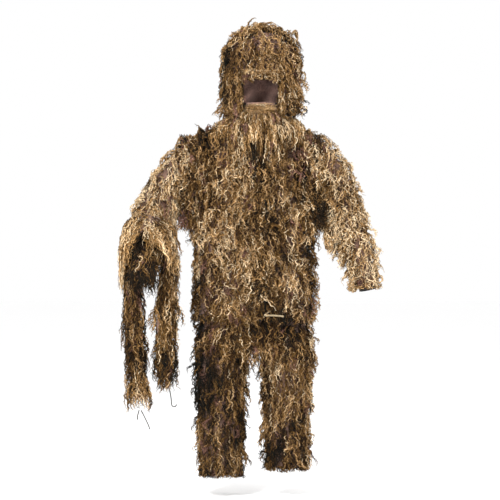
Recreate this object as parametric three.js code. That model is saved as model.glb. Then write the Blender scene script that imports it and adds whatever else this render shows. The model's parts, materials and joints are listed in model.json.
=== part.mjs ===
// A ghillie suit as it hangs when worn: hood, jacket, trousers and a wrap for a long tool, laid over
// one forearm. Millimetres. +Z is up and the wearer faces -Y, so the wearer's left is +X.
// The origin is the top of the wearer's shoulders, on the middle line.
// Each cloth part is a wall of mesh cloth with a separate, thicker wall of sewn threads outside it.
import * as THREE from 'three';

// ---- Driving dimensions ----
const CLOTH = 3;              // mesh cloth, as a wall
const THREADS = 18;           // how far a row of threads stands off the cloth
const FLARE = 6;              // how much further a row stands off at its lower edge
const LEDGE = 0.96;           // share of a row's height at which its lower edge turns in
const GAP = 0.5;              // air between two pieces that touch
const BODY_SIDES = 16;        // facets round the body
const LIMB_SIDES = 12;        // facets round a limb
const ELASTIC = 3;            // thickness of an elastic in its casing

const CENTRE_FRONT = -90;     // degrees round a horizontal oval: 0 is +X and 90 is the back
const SEAM = 0.6;             // degrees left open on each side of a seam

const HOOD_X = 26;            // the hood sits a little to the wearer's left
const CLOSURE = { x: 25, width: 50, top: -105, bottom: -728, placketDepth: 10, placketLap: 12 };
const STUD = { count: 4, capRadius: 8, capHeight: 3.5, postRadius: 6, first: 50, last: 60, sides: 12 };
const FRONT_FACE = -118;      // y of the cloth at the middle of the front
const FLAP_SWING = 9;         // room beside the flap's free edge, so that it can open

const LEG = { x: 132, top: -888, knee: -1112, hem: -1384, slack: 9 };
const WRAP = { from: 62, to: 196, halfArc: 92, thickness: 20, clearance: 4, armRadius: 58 };

// ---- Colours ----
const finish = (color, roughness = 0.95, metalness = 0) =>
  new THREE.MeshStandardMaterial({ color, roughness, metalness });
const meshCloth = () => finish(0x9c7f6c);
const straw = () => finish(0x9a8058);
const brown = () => finish(0x5f4a37);
const elasticBlack = () => finish(0x16130f, 0.8);
const tape = () => finish(0xb9a78c, 0.85);
const studMetal = () => finish(0x3a352e, 0.45, 0.8);
const cordBrown = () => finish(0x2a2018, 0.85);

const radians = THREE.MathUtils.degToRad;
const vec = (x, y, z) => new THREE.Vector3(x, y, z);

// ---- Sections ----
// A section is an oval: a centre, a half axis u (0 degrees), a half axis v (90 degrees), the arc that the
// wall covers, and rise, the share of any thickness that also goes upward, for a top that faces the sky.
function section(centre, u, v, arc = {}) {
  return { centre, u, v, from: 0, to: 360, rise: 0, ...arc };
}

// A horizontal oval.
function level(z, halfWidth, halfDepth, arc = {}) {
  const centre = vec(arc.x ?? 0, arc.y ?? 0, z);
  return section(centre, vec(halfWidth, 0, 0), vec(0, halfDepth, 0), arc);
}

// An oval whose width runs between two points of the XZ plane, given as [x, z].
function spanning([x0, z0], [x1, z1], halfDepth) {
  const half = vec((x0 - x1) / 2, 0, (z0 - z1) / 2);
  return section(vec((x0 + x1) / 2, 0, (z0 + z1) / 2), half, vec(0, halfDepth, 0));
}

function blend(a, b, t) {
  const mix = THREE.MathUtils.lerp;
  return {
    centre: a.centre.clone().lerp(b.centre, t),
    u: a.u.clone().lerp(b.u, t),
    v: a.v.clone().lerp(b.v, t),
    from: mix(a.from, b.from, t),
    to: mix(a.to, b.to, t),
    rise: mix(a.rise, b.rise, t),
  };
}

const withArc = (sections, from, to) => sections.map((s) => ({ ...s, from, to }));

// The points of one section, at an offset outward from its oval.
function ringPoints(s, offset, sides) {
  const full = s.to - s.from >= 360;
  const count = full ? sides : Math.max(3, Math.round((sides * (s.arcSpan ?? s.to - s.from)) / 360)) + 1;
  const smallest = 0.4;
  const u = s.u.clone().setLength(Math.max(s.u.length() + offset, smallest));
  const v = s.v.clone().setLength(Math.max(s.v.length() + offset, smallest));
  const centre = s.centre.clone().add(vec(0, 0, offset * s.rise));
  return Array.from({ length: count }, (_, i) => {
    const angle = radians(s.from + ((s.to - s.from) * i) / (full ? count : count - 1));
    return centre.clone().addScaledVector(u, Math.cos(angle)).addScaledVector(v, Math.sin(angle));
  });
}

// ---- Closed bodies ----
function signedVolume(points, triangles) {
  let volume = 0;
  for (const [a, b, c] of triangles) {
    volume += points[a].dot(points[b].clone().cross(points[c])) / 6;
  }
  return volume;
}

function closedBody(points, triangles) {
  const outward = signedVolume(points, triangles) > 0;
  const geometry = new THREE.BufferGeometry();
  const coordinates = points.flatMap((p) => [p.x, p.y, p.z]);
  geometry.setAttribute('position', new THREE.Float32BufferAttribute(coordinates, 3));
  geometry.setIndex(triangles.flatMap(([a, b, c]) => (outward ? [a, b, c] : [a, c, b])));
  geometry.computeVertexNormals();
  return geometry;
}

// A closed wall through rows of outer and inner points. Each row has as many points as the next.
function wallBody(outerRows, innerRows, full) {
  const rows = outerRows.length;
  const across = outerRows[0].length;
  const points = [...outerRows.flat(), ...innerRows.flat()];
  const outer = (r, i) => r * across + (i % across);
  const inner = (r, i) => rows * across + outer(r, i);
  const triangles = [];
  const quad = (a, b, c, d) => triangles.push([a, b, c], [a, c, d]);
  const steps = full ? across : across - 1;
  for (let i = 0; i < steps; i += 1) {
    for (let r = 0; r < rows - 1; r += 1) {
      quad(outer(r, i), outer(r + 1, i), outer(r + 1, i + 1), outer(r, i + 1));
      quad(inner(r, i), inner(r, i + 1), inner(r + 1, i + 1), inner(r + 1, i));
    }
    quad(outer(0, i), outer(0, i + 1), inner(0, i + 1), inner(0, i));
    quad(outer(rows - 1, i), inner(rows - 1, i), inner(rows - 1, i + 1), outer(rows - 1, i + 1));
  }
  for (let r = 0; r < rows - 1 && !full; r += 1) {
    quad(outer(r, 0), inner(r, 0), inner(r + 1, 0), outer(r + 1, 0));
    quad(outer(r, steps), outer(r + 1, steps), inner(r + 1, steps), inner(r, steps));
  }
  return closedBody(points, triangles);
}

const isFull = (sections) => sections[0].to - sections[0].from >= 360;

function evenSpans(sections) {
  const arcSpan = Math.max(...sections.map((s) => s.to - s.from));
  return sections.map((s) => ({ ...s, arcSpan }));
}

// A wall of cloth through the sections, with its outside on them.
function clothWall(sections, sides, thickness = CLOTH, offset = 0) {
  const even = evenSpans(sections);
  const outer = even.map((s) => ringPoints(s, offset, sides));
  const inner = even.map((s) => ringPoints(s, offset - thickness, sides));
  return wallBody(outer, inner, isFull(sections));
}

// Rows of threads outside the same sections: each row flares to its lower edge, then steps back in.
function threadWall(sections, sides, threads = THREADS) {
  const even = evenSpans(sections);
  const outer = [];
  const inner = [];
  const add = (s, offset) => {
    outer.push(ringPoints(s, offset, sides));
    inner.push(ringPoints(s, GAP, sides));
  };
  add(even[0], threads);
  for (let i = 0; i < even.length - 1; i += 1) {
    const edge = { ...blend(even[i], even[i + 1], LEDGE), arcSpan: even[i].arcSpan };
    add(edge, threads + FLARE);
    add(even[i + 1], i < even.length - 2 ? threads : threads - FLARE / 2);
  }
  return wallBody(outer, inner, isFull(sections));
}

function piece(name, geometry, material) {
  const mesh = new THREE.Mesh(geometry, material);
  mesh.name = name;
  return mesh;
}

// One cloth part: its mesh cloth and the threads sewn on it.
function sewnPart(name, sections, sides, threadMaterial = straw()) {
  return [
    piece(name, clothWall(sections, sides), meshCloth()),
    piece(`${name}_threads`, threadWall(sections, sides), threadMaterial),
  ];
}

function boxPiece(name, [x0, y0, z0], [x1, y1, z1], material) {
  const mesh = piece(name, new THREE.BoxGeometry(x1 - x0, y1 - y0, z1 - z0), material);
  mesh.position.set((x0 + x1) / 2, (y0 + y1) / 2, (z0 + z1) / 2);
  return mesh;
}

// ---- Jacket ----
// The cloth outline from the neck hole, over the shoulders, past the armholes and down to the hem.
// armhole is how many degrees of the side stay open on each side of the side seam.
const JACKET = [
  { z: -13, halfWidth: 100, halfDepth: 84, rise: 1, armhole: 0 },
  { z: -20, halfWidth: 205, halfDepth: 104, rise: 1, armhole: 0 },
  { z: -48, halfWidth: 222, halfDepth: 116, rise: 0.4, armhole: 14 },
  { z: -112, halfWidth: 208, halfDepth: 118, rise: 0, armhole: 36 },
  { z: -180, halfWidth: 200, halfDepth: 118, rise: 0, armhole: 32 },
  { z: -240, halfWidth: 198, halfDepth: 118, rise: 0, armhole: 0 },
  { z: -330, halfWidth: 214, halfDepth: 118, rise: 0, armhole: 0 },
  { z: -440, halfWidth: 224, halfDepth: 118, rise: 0, armhole: 0 },
  { z: -550, halfWidth: 222, halfDepth: 118, rise: 0, armhole: 0 },
  { z: -650, halfWidth: 228, halfDepth: 118, rise: 0, armhole: 0 },
  { z: -748, halfWidth: 232, halfDepth: 118, rise: 0, armhole: 0 },
];

function jacketSections(arcOf) {
  return JACKET.map((s) => level(s.z, s.halfWidth, s.halfDepth, { rise: s.rise, ...arcOf(s) }));
}

// Degrees from the middle of the front to a point at x on a jacket section.
function frontAngle(s, x) {
  return CENTRE_FRONT + THREE.MathUtils.radToDeg(Math.asin(x / s.halfWidth));
}

function jacketPanels() {
  const openLeft = CLOSURE.x + CLOSURE.width / 2;
  const openRight = CLOSURE.x - CLOSURE.width / 2;
  const back = jacketSections((s) => ({ from: SEAM + s.armhole, to: 180 - SEAM - s.armhole }));
  const left = jacketSections((s) => ({ from: frontAngle(s, openLeft), to: -SEAM - s.armhole }));
  const right = jacketSections((s) => ({ from: -180 + SEAM + s.armhole, to: frontAngle(s, openRight) }));
  return [
    ...sewnPart('jacket_back', back, BODY_SIDES),
    ...sewnPart('jacket_front_left', left, BODY_SIDES),
    ...sewnPart('jacket_front_right', right, BODY_SIDES),
  ];
}

// A short cylinder on the closure's middle line, between two depths.
function studPiece(name, radius, y0, y1, z) {
  const cylinder = new THREE.CylinderGeometry(radius, radius, Math.abs(y1 - y0), STUD.sides);
  const mesh = piece(name, cylinder, studMetal());
  mesh.position.set(CLOSURE.x, (y0 + y1) / 2, z);
  return mesh;
}

// The closure, from the inside out: under-placket, sockets, flap, caps, threads on the flap.
function jacketClosure() {
  const half = CLOSURE.width / 2;
  const underFace = FRONT_FACE + CLOSURE.placketDepth;
  const flapFace = FRONT_FACE - GAP;
  const flapOuter = flapFace - CLOTH;
  const capInner = flapOuter - GAP;
  const capOuter = capInner - STUD.capHeight;
  const studs = [];
  for (let i = 0; i < STUD.count; i += 1) {
    const down = i / (STUD.count - 1);
    const z = THREE.MathUtils.lerp(CLOSURE.top - STUD.first, CLOSURE.bottom + STUD.last, down);
    studs.push(
      studPiece(`stud_socket_${i + 1}`, STUD.postRadius, underFace - GAP, flapFace + GAP, z),
      studPiece(`stud_cap_${i + 1}`, STUD.capRadius, capInner, capOuter, z),
    );
  }
  const [x0, x1] = [CLOSURE.x - half + FLAP_SWING, CLOSURE.x + half - 2];
  const strip = (name, lap, yOut, yIn, material) => boxPiece(
    name,
    [x0 - lap, yOut, CLOSURE.bottom],
    [x1 + lap, yIn, CLOSURE.top],
    material,
  );
  return [
    strip('under_placket', CLOSURE.placketLap, underFace, underFace + CLOTH, meshCloth()),
    strip('front_flap', 0, flapOuter, flapFace, meshCloth()),
    strip('front_flap_threads', 0, FRONT_FACE - THREADS - FLARE, capOuter - GAP, brown()),
    ...studs,
  ];
}

// A flat loop of tape inside the back of the collar, for a peg.
const HANGER = { halfWidth: 32, height: 26, band: 7, thickness: 2, y: 58, bottom: -6 };

function hangerLoop() {
  const rectangle = (halfWidth, low, high) => [
    [-halfWidth, low], [halfWidth, low], [halfWidth, high], [-halfWidth, high],
  ].map(([x, y]) => new THREE.Vector2(x, y));
  const loop = new THREE.Shape(rectangle(HANGER.halfWidth, 0, HANGER.height));
  const hole = rectangle(HANGER.halfWidth - HANGER.band, HANGER.band, HANGER.height - HANGER.band);
  loop.holes.push(new THREE.Path(hole));
  const geometry = new THREE.ExtrudeGeometry(loop, { depth: HANGER.thickness, bevelEnabled: false });
  const mesh = piece('hanger_loop', geometry, tape());
  mesh.rotation.x = Math.PI / 2;
  mesh.position.set(0, HANGER.y, HANGER.bottom);
  return mesh;
}

function jacketTrim() {
  const collar = [level(28, 74, 70), level(-30, 80, 74)];
  const hem = [level(-752, 229, 115), level(-764, 228, 114)];
  return [
    piece('jacket_collar', clothWall(collar, LIMB_SIDES, 4), meshCloth()),
    hangerLoop(),
    piece('jacket_hem_elastic', clothWall(hem, BODY_SIDES, ELASTIC), elasticBlack()),
  ];
}

// ---- Sleeves ----
// Upper sleeves: points of the outer and inner contour, [x, z], shoulder to elbow, with the half depth.
const UPPER_SLEEVES = {
  left: [
    [[262, -27], [262, -186], 60],
    [[322, -72], [265, -210], 64],
    [[374, -160], [270, -240], 62],
    [[410, -248], [278, -290], 60],
    [[428, -316], [290, -345], 58],
  ],
  right: [
    [[-262, -27], [-286, -186], 60],
    [[-325, -88], [-287, -216], 64],
    [[-388, -160], [-292, -256], 62],
    [[-430, -224], [-306, -310], 60],
    [[-462, -280], [-326, -358], 58],
  ],
};
// Forearms: distance below the elbow, half width, half depth, and how far the middle has drifted outward.
const FOREARMS = {
  left: [[7, 70, 56, 0], [110, 58, 52, 16], [210, 44, 42, 34], [298, 36, 33, 36]],
  right: [[7, 74, 56, 0], [90, 56, 50, 0], [180, 46, 44, 0], [262, 36, 33, 0]],
};
// fold is how far the elbow is bent, and inward how far the forearm then points across the body.
const ELBOWS = {
  left: { fold: 8, inward: 0 },
  right: { fold: 58, inward: 0.35 },
};

function elbowOf(side) {
  const [outer, inner, halfDepth] = UPPER_SLEEVES[side].at(-1);
  const ring = spanning(outer, inner, halfDepth);
  const along = vec(0, 1, 0).cross(ring.u).normalize();
  along.multiplyScalar(-Math.sign(along.z));
  const front = vec(ELBOWS[side].inward, -1, 0);
  front.addScaledVector(along, -front.dot(along)).normalize();
  const reach = halfDepth + THREADS + FLARE + 2;
  return {
    centre: ring.centre,
    along,
    across: ring.u.clone().normalize(),
    crease: ring.centre.clone().addScaledVector(front, reach),
    axis: along.clone().cross(front).normalize(),
    fold: radians(ELBOWS[side].fold),
  };
}

// A forearm's sections as if the arm were straight; foldedAt then turns what is built on them.
function forearmSections(elbow, rows) {
  return rows.map(([below, halfWidth, halfDepth, drift]) => section(
    elbow.centre.clone().addScaledVector(elbow.along, below).addScaledVector(elbow.across, drift),
    elbow.across.clone().multiplyScalar(halfWidth),
    vec(0, halfDepth, 0),
  ));
}

function foldedAt(elbow, children) {
  const forearm = new THREE.Group();
  forearm.position.copy(elbow.crease);
  forearm.quaternion.setFromAxisAngle(elbow.axis, elbow.fold);
  for (const child of children) {
    child.geometry.translate(-elbow.crease.x, -elbow.crease.y, -elbow.crease.z);
    forearm.add(child);
  }
  return forearm;
}

function sleeve(side) {
  const elbow = elbowOf(side);
  const upper = UPPER_SLEEVES[side].map(([outer, inner, depth]) => spanning(outer, inner, depth));
  const lower = forearmSections(elbow, FOREARMS[side]);
  const end = lower.at(-1);
  const cuff = [2, 16].map((below) => ({
    ...end,
    centre: end.centre.clone().addScaledVector(elbow.along, below),
  }));
  return [
    ...sewnPart(`${side}_upper_sleeve`, upper, LIMB_SIDES),
    foldedAt(elbow, [
      ...sewnPart(`${side}_forearm_sleeve`, lower, LIMB_SIDES),
      piece(`${side}_cuff_elastic`, clothWall(cuff, LIMB_SIDES, ELASTIC, 1), elasticBlack()),
    ]),
  ];
}

// ---- Hood ----
const HOOD = [
  { z: 404, halfWidth: 10, halfDepth: 10, rise: 1, open: 0 },
  { z: 392, halfWidth: 84, halfDepth: 80, rise: 1, open: 0 },
  { z: 340, halfWidth: 132, halfDepth: 122, rise: 0.3, open: 0 },
  { z: 250, halfWidth: 143, halfDepth: 132, rise: 0, open: 0 },
  { z: 204, halfWidth: 144, halfDepth: 132, rise: 0, open: 0 },
  { z: 200, halfWidth: 144, halfDepth: 132, rise: 0, open: 20 },
  { z: 176, halfWidth: 144, halfDepth: 132, rise: 0, open: 30 },
  { z: 112, halfWidth: 143, halfDepth: 130, rise: 0, open: 30 },
  { z: 66, halfWidth: 130, halfDepth: 122, rise: 0, open: 30 },
];
const NECK_GAP = 6;
const BRIM = { top: 236, bottom: 208, halfWidth: 171, halfDepth: 160, taper: 2.5, halfArc: 34 };
const BINDING = { halfWidth: 84, bottom: 92, top: 222, width: 14, shoulder: 24, thickness: 4, y: -88 };
const CHIN = { top: 106, bottom: 68, halfArc: 29 };

function hoodSections(arcOf) {
  return HOOD.map((s) => level(s.z, s.halfWidth, s.halfDepth, { x: HOOD_X, rise: s.rise, ...arcOf(s) }));
}

function hoodHead() {
  const left = hoodSections((s) => ({ from: CENTRE_FRONT + SEAM + s.open, to: 90 - SEAM }));
  const right = hoodSections((s) => ({ from: 90 + SEAM, to: 270 - SEAM - s.open }));
  const brimArc = { x: HOOD_X, from: CENTRE_FRONT - BRIM.halfArc, to: CENTRE_FRONT + BRIM.halfArc };
  const brim = [
    level(BRIM.top, BRIM.halfWidth - BRIM.taper, BRIM.halfDepth - BRIM.taper, brimArc),
    level(BRIM.bottom, BRIM.halfWidth, BRIM.halfDepth, brimArc),
  ];
  return [
    ...sewnPart('hood_left', left, BODY_SIDES),
    ...sewnPart('hood_right', right, BODY_SIDES),
    piece('hood_brim', clothWall(brim, BODY_SIDES, 5, 6), straw()),
  ];
}

// A flat hoop sewn round the face opening, behind the cloth.
function faceBinding() {
  const outline = (inset) => {
    const [halfWidth, top] = [BINDING.halfWidth - inset, BINDING.top - inset];
    const shoulder = top - BINDING.shoulder;
    const path = new THREE.Path();
    path.moveTo(-halfWidth, BINDING.bottom + inset);
    path.lineTo(halfWidth, BINDING.bottom + inset);
    path.lineTo(halfWidth, shoulder);
    path.quadraticCurveTo(halfWidth * 0.8, top, 0, top);
    path.quadraticCurveTo(-halfWidth * 0.8, top, -halfWidth, shoulder);
    path.closePath();
    return path.getPoints(6);
  };
  const hoop = new THREE.Shape(outline(0));
  hoop.holes.push(new THREE.Path(outline(BINDING.width)));
  const geometry = new THREE.ExtrudeGeometry(hoop, { depth: BINDING.thickness, bevelEnabled: false });
  const mesh = piece('face_binding', geometry, elasticBlack());
  mesh.rotation.x = Math.PI / 2;
  mesh.position.set(HOOD_X, BINDING.y, 0);
  return mesh;
}

// The chin flap closes the throat: it turns on an upright seam at the wearer's right of the opening.
function chinFlap() {
  const arc = { x: HOOD_X, from: CENTRE_FRONT - CHIN.halfArc, to: CENTRE_FRONT + CHIN.halfArc };
  const band = [level(CHIN.top, 143, 130, arc), level(CHIN.bottom, 131, 122, arc)];
  return sewnPart('chin_flap', band, BODY_SIDES);
}

function neckDrape() {
  const drape = [
    level(66 - NECK_GAP, 124, 112, { x: HOOD_X }),
    level(38, 130, 118, { x: HOOD_X }),
    level(20, 146, 130, { x: HOOD_X, rise: 0.5 }),
  ];
  const bib = [
    level(12, 238, 136, { from: CENTRE_FRONT - 16, to: CENTRE_FRONT + 34 }),
    level(-30, 244, 144, { from: CENTRE_FRONT - 17, to: CENTRE_FRONT + 33 }),
    level(-80, 248, 148, { from: CENTRE_FRONT - 12, to: CENTRE_FRONT + 28 }),
  ];
  return [
    ...sewnPart('neck_drape', drape, BODY_SIDES),
    piece('drape_front_threads', threadWall(bib, BODY_SIDES, 12), straw()),
  ];
}

// ---- Trousers ----
const SEAT = [
  { z: -652, halfWidth: 196, halfDepth: 88 },
  { z: -768, halfWidth: 214, halfDepth: 96 },
  { z: -820, halfWidth: 222, halfDepth: 98 },
  { z: LEG.top + LEG.slack + 3, halfWidth: 224, halfDepth: 98 },
];

function trouserSeat() {
  const sections = SEAT.map((s) => level(s.z, s.halfWidth, s.halfDepth));
  const halves = {
    front: withArc(sections, -180 + SEAM, -SEAM),
    back: withArc(sections, SEAM, 180 - SEAM),
  };
  const waist = [level(-634, 198, 90), level(-648, 197, 89)];
  const visible = sections.slice(1);
  return [
    piece('waist_elastic', clothWall(waist, BODY_SIDES, ELASTIC), elasticBlack()),
    piece('trouser_seat_front', clothWall(halves.front, BODY_SIDES), meshCloth()),
    piece('trouser_seat_back', clothWall(halves.back, BODY_SIDES), meshCloth()),
    piece('trouser_seat_threads', threadWall(visible, BODY_SIDES), straw()),
  ];
}

function trouserLeg(side, sign) {
  const at = (z, halfWidth, halfDepth) => level(z, halfWidth, halfDepth, { x: sign * LEG.x });
  const thigh = [
    at(LEG.top, 88, 96),
    at(LEG.top - 75, 88, 92),
    at(LEG.top - 150, 84, 86),
    at(LEG.knee + LEG.slack, 80, 82),
  ];
  const shin = [
    at(LEG.knee - LEG.slack, 80, 82),
    at(LEG.knee - 95, 78, 80),
    at(LEG.knee - 185, 76, 78),
    at(LEG.hem, 70, 74),
  ];
  return [
    ...sewnPart(`${side}_thigh`, thigh, LIMB_SIDES),
    ...sewnPart(`${side}_shin`, shin, LIMB_SIDES),
  ];
}

// ---- Wrap for a long tool ----
// The wrap lies over the right forearm, so its saddle is built on that forearm's folded axis.
function forearmAxis() {
  const elbow = elbowOf('right');
  const turn = new THREE.Quaternion().setFromAxisAngle(elbow.axis, elbow.fold);
  const start = elbow.centre.clone().sub(elbow.crease).applyQuaternion(turn).add(elbow.crease);
  return { start, along: elbow.along.clone().applyQuaternion(turn) };
}

function wrapSaddle() {
  const { start, along } = forearmAxis();
  const level0 = vec(0, 0, 1).cross(along).normalize();
  const up = along.clone().cross(level0).normalize();
  up.multiplyScalar(Math.sign(up.z));
  const arc = { from: 90 - WRAP.halfArc, to: 90 + WRAP.halfArc };
  const inner = WRAP.armRadius + THREADS + FLARE + WRAP.clearance;
  const sections = [WRAP.from, WRAP.to].map((below) => section(
    start.clone().addScaledVector(along, below),
    level0.clone().setLength(inner),
    up.clone().setLength(inner),
    arc,
  ));
  return piece('wrap_saddle', clothWall(sections, BODY_SIDES, WRAP.thickness, WRAP.thickness), straw());
}

// The hanging ends: middle of the tail [x, y, z] with its half width and half depth.
const TAILS = {
  outer: [
    [[-520, -166, -524], 9, 14],
    [[-512, -168, -570], 18, 30],
    [[-482, -170, -650], 42, 48],
    [[-476, -170, -780], 44, 50],
    [[-470, -170, -910], 42, 46],
    [[-450, -172, -1030], 34, 38],
    [[-446, -172, -1112], 16, 18],
  ],
  inner: [
    [[-332, -166, -524], 9, 14],
    [[-336, -168, -570], 18, 30],
    [[-348, -170, -650], 44, 46],
    [[-356, -170, -780], 42, 46],
    [[-352, -170, -900], 42, 44],
    [[-344, -172, -1030], 26, 28],
  ],
};

// A solid rope of threads through horizontal ovals.
function tail(name, rows) {
  const rings = rows.map(([[x, y, z], halfWidth, halfDepth]) =>
    ringPoints(level(z, halfWidth, halfDepth, { x, y }), 0, LIMB_SIDES));
  const points = rings.flat();
  const triangles = [];
  for (let r = 0; r < rings.length - 1; r += 1) {
    for (let i = 0; i < LIMB_SIDES; i += 1) {
      const [a, b] = [r * LIMB_SIDES + i, r * LIMB_SIDES + ((i + 1) % LIMB_SIDES)];
      triangles.push([a, a + LIMB_SIDES, b + LIMB_SIDES], [a, b + LIMB_SIDES, b]);
    }
  }
  const last = (rings.length - 1) * LIMB_SIDES;
  for (let i = 1; i < LIMB_SIDES - 1; i += 1) {
    triangles.push([0, i, i + 1], [last, last + i + 1, last + i]);
  }
  return piece(name, closedBody(points, triangles), straw());
}

// Tie cords that hang from the tails. Each route starts just below its tail.
const TIE_DIAMETER = 4;
const TIES = {
  wrap_tie_inner: [
    [-334, -172, -1031], [-330, -173, -1050], [-327, -174, -1070], [-326, -175, -1086],
    [-323, -176, -1095], [-316, -176, -1099], [-309, -176, -1096], [-306, -176, -1089],
  ],
  wrap_tie_outer: [
    [-446, -172, -1113], [-438, -173, -1128], [-430, -175, -1144], [-422, -176, -1160],
    [-415, -177, -1176], [-411, -177, -1188],
  ],
  wrap_tie_outer_short: [
    [-454, -172, -1113], [-457, -171, -1124], [-460, -170, -1136], [-461, -169, -1150],
  ],
};

function tieCord(name, route) {
  const curve = new THREE.CatmullRomCurve3(route.map((p) => vec(...p)));
  const circle = new THREE.Shape(
    Array.from({ length: 8 }, (_, i) => new THREE.Vector2(
      (TIE_DIAMETER / 2) * Math.cos((i * Math.PI) / 4),
      (TIE_DIAMETER / 2) * Math.sin((i * Math.PI) / 4),
    )),
  );
  const steps = Math.round(curve.getLength() / (2.5 * TIE_DIAMETER));
  const tube = new THREE.ExtrudeGeometry(circle, { steps, extrudePath: curve, bevelEnabled: false });
  return piece(name, tube, cordBrown());
}

function wrap() {
  return [
    wrapSaddle(),
    tail('wrap_tail_outer', TAILS.outer),
    tail('wrap_tail_inner', TAILS.inner),
    ...Object.entries(TIES).map(([name, route]) => tieCord(name, route)),
  ];
}

// ---- The whole suit ----
const suit = new THREE.Group();
suit.add(
  ...jacketPanels(),
  ...jacketClosure(),
  ...jacketTrim(),
  ...sleeve('left'),
  ...sleeve('right'),
  ...hoodHead(),
  faceBinding(),
  ...chinFlap(),
  ...neckDrape(),
  ...trouserSeat(),
  ...trouserLeg('left', 1),
  ...trouserLeg('right', -1),
  ...wrap(),
);

export default suit;
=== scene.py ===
"""The looks of a ghillie suit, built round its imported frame.

Metres, +Z up. The wearer faces -Y, so the wearer's left is +X. Every garment part starts as a skin: a grid
of points that rays from inside the part find on its CAD cloth. The mesh cloth is made from the skin, and
tufts of thread are rooted on it in rows and hang from it.
"""

import json
import math

import bmesh
import bpy
import numpy as np
from mathutils import Matrix, Vector
from mathutils.bvhtree import BVHTree


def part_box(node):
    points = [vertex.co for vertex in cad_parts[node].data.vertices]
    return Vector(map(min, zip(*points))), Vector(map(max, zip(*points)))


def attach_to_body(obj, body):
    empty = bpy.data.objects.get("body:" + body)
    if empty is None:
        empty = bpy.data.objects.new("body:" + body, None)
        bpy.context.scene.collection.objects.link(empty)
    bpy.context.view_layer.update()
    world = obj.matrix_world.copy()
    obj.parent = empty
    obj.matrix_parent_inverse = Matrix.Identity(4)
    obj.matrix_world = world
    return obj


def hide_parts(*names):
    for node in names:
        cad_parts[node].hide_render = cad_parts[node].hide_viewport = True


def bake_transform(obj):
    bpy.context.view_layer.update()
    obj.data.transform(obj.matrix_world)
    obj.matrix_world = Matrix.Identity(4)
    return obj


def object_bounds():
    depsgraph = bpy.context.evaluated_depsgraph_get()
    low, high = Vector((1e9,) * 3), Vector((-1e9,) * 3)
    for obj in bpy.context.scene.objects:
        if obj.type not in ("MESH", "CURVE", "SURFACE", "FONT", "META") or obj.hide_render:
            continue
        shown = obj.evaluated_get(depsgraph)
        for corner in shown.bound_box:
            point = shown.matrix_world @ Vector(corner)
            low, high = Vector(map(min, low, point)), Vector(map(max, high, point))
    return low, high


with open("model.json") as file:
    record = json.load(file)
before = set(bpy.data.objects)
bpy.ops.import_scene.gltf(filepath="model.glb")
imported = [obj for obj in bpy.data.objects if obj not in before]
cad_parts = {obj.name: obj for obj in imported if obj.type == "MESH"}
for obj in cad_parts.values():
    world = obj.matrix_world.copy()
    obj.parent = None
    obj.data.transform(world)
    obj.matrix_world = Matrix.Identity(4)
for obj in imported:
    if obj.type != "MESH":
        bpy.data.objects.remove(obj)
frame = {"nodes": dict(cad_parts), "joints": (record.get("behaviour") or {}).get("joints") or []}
CAD_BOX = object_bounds()
CAD_LOW, CAD_HIGH = (np.array(corner) for corner in CAD_BOX)
NODES = frame["nodes"]
JOINTS = {joint["name"]: joint for joint in frame["joints"]}
RNG = np.random.default_rng(20)

RIGHT = np.array((1.0, 0.0, 0.0))
BACK = np.array((0.0, 1.0, 0.0))
UP = np.array((0.0, 0.0, 1.0))
DOWN = -UP

# ---- Driving sizes, in metres ----
HOOD_X = 0.026           # the hood sits a little to the wearer's left
CLOSURE_X = 0.025        # middle of the jacket's closure
LEG_X = 0.132            # middle of a trouser leg
FLOOR_Z = -1.47          # where the wearer would stand

THREAD_POINTS = 22       # points along one thread
THREAD_RADIUS = 0.0015
THREADS_A_PIECE = 1500   # keeps a piece well under 200,000 triangles
CLOTH_THICKNESS = 0.0022
SPARE = 0.03 * (CAD_HIGH - CAD_LOW) + 0.005   # how far threads may stand out of the CAD box

TIE_DIAMETER = 0.004
TIES = {
    "wrap_tie_inner": ("wrap_tail_inner", [
        (-0.334, -0.172, -1.031), (-0.330, -0.173, -1.050), (-0.327, -0.174, -1.070),
        (-0.326, -0.175, -1.086), (-0.323, -0.176, -1.095), (-0.316, -0.176, -1.099),
        (-0.309, -0.176, -1.096), (-0.306, -0.176, -1.089),
    ]),
    "wrap_tie_outer": ("wrap_tail_outer", [
        (-0.446, -0.172, -1.113), (-0.438, -0.173, -1.128), (-0.430, -0.175, -1.144),
        (-0.422, -0.176, -1.160), (-0.415, -0.177, -1.176), (-0.411, -0.177, -1.188),
    ]),
    "wrap_tie_outer_short": ("wrap_tail_outer", [
        (-0.454, -0.172, -1.113), (-0.457, -0.171, -1.124), (-0.460, -0.170, -1.136),
        (-0.461, -0.169, -1.150),
    ]),
}


# ---- Helpers ----
def unit(vectors):
    return vectors / np.maximum(np.linalg.norm(vectors, axis=-1, keepdims=True), 1e-9)


def run_along(points):
    """How far along a line each of its points is."""
    return np.concatenate([[0], np.cumsum(np.linalg.norm(np.diff(points, axis=0), axis=1))])


def between(places, marks, points):
    """Points at places on a line whose own points are at marks."""
    return np.stack([np.interp(places, marks, points[:, axis]) for axis in range(3)], axis=-1)


# Farther than anything in the suit, for a limit that isn't one.
FAR = 9.0


def joined(*groups):
    """Groups of arrays, such as paths and tones, as one group."""
    return tuple(np.concatenate(column) for column in zip(*groups))


def add_object(name, data):
    added = bpy.data.objects.new(name, data)
    bpy.context.scene.collection.objects.link(added)
    return added


# ---- Camera, light and floor ----
def make_camera():
    """A level camera far off, so that the picture is two metres wide at the suit."""
    distance, picture_width, sensor, front = 8.0, 2.0, 36.0, 0.07
    data = bpy.data.cameras.new("camera")
    data.sensor_width = sensor
    data.lens = sensor * (distance - front) / picture_width
    camera = add_object("camera", data)
    camera.location = (-0.016, -distance, -0.480)
    camera.rotation_euler = (math.radians(90), 0, 0)
    bpy.context.scene.camera = camera


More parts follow.
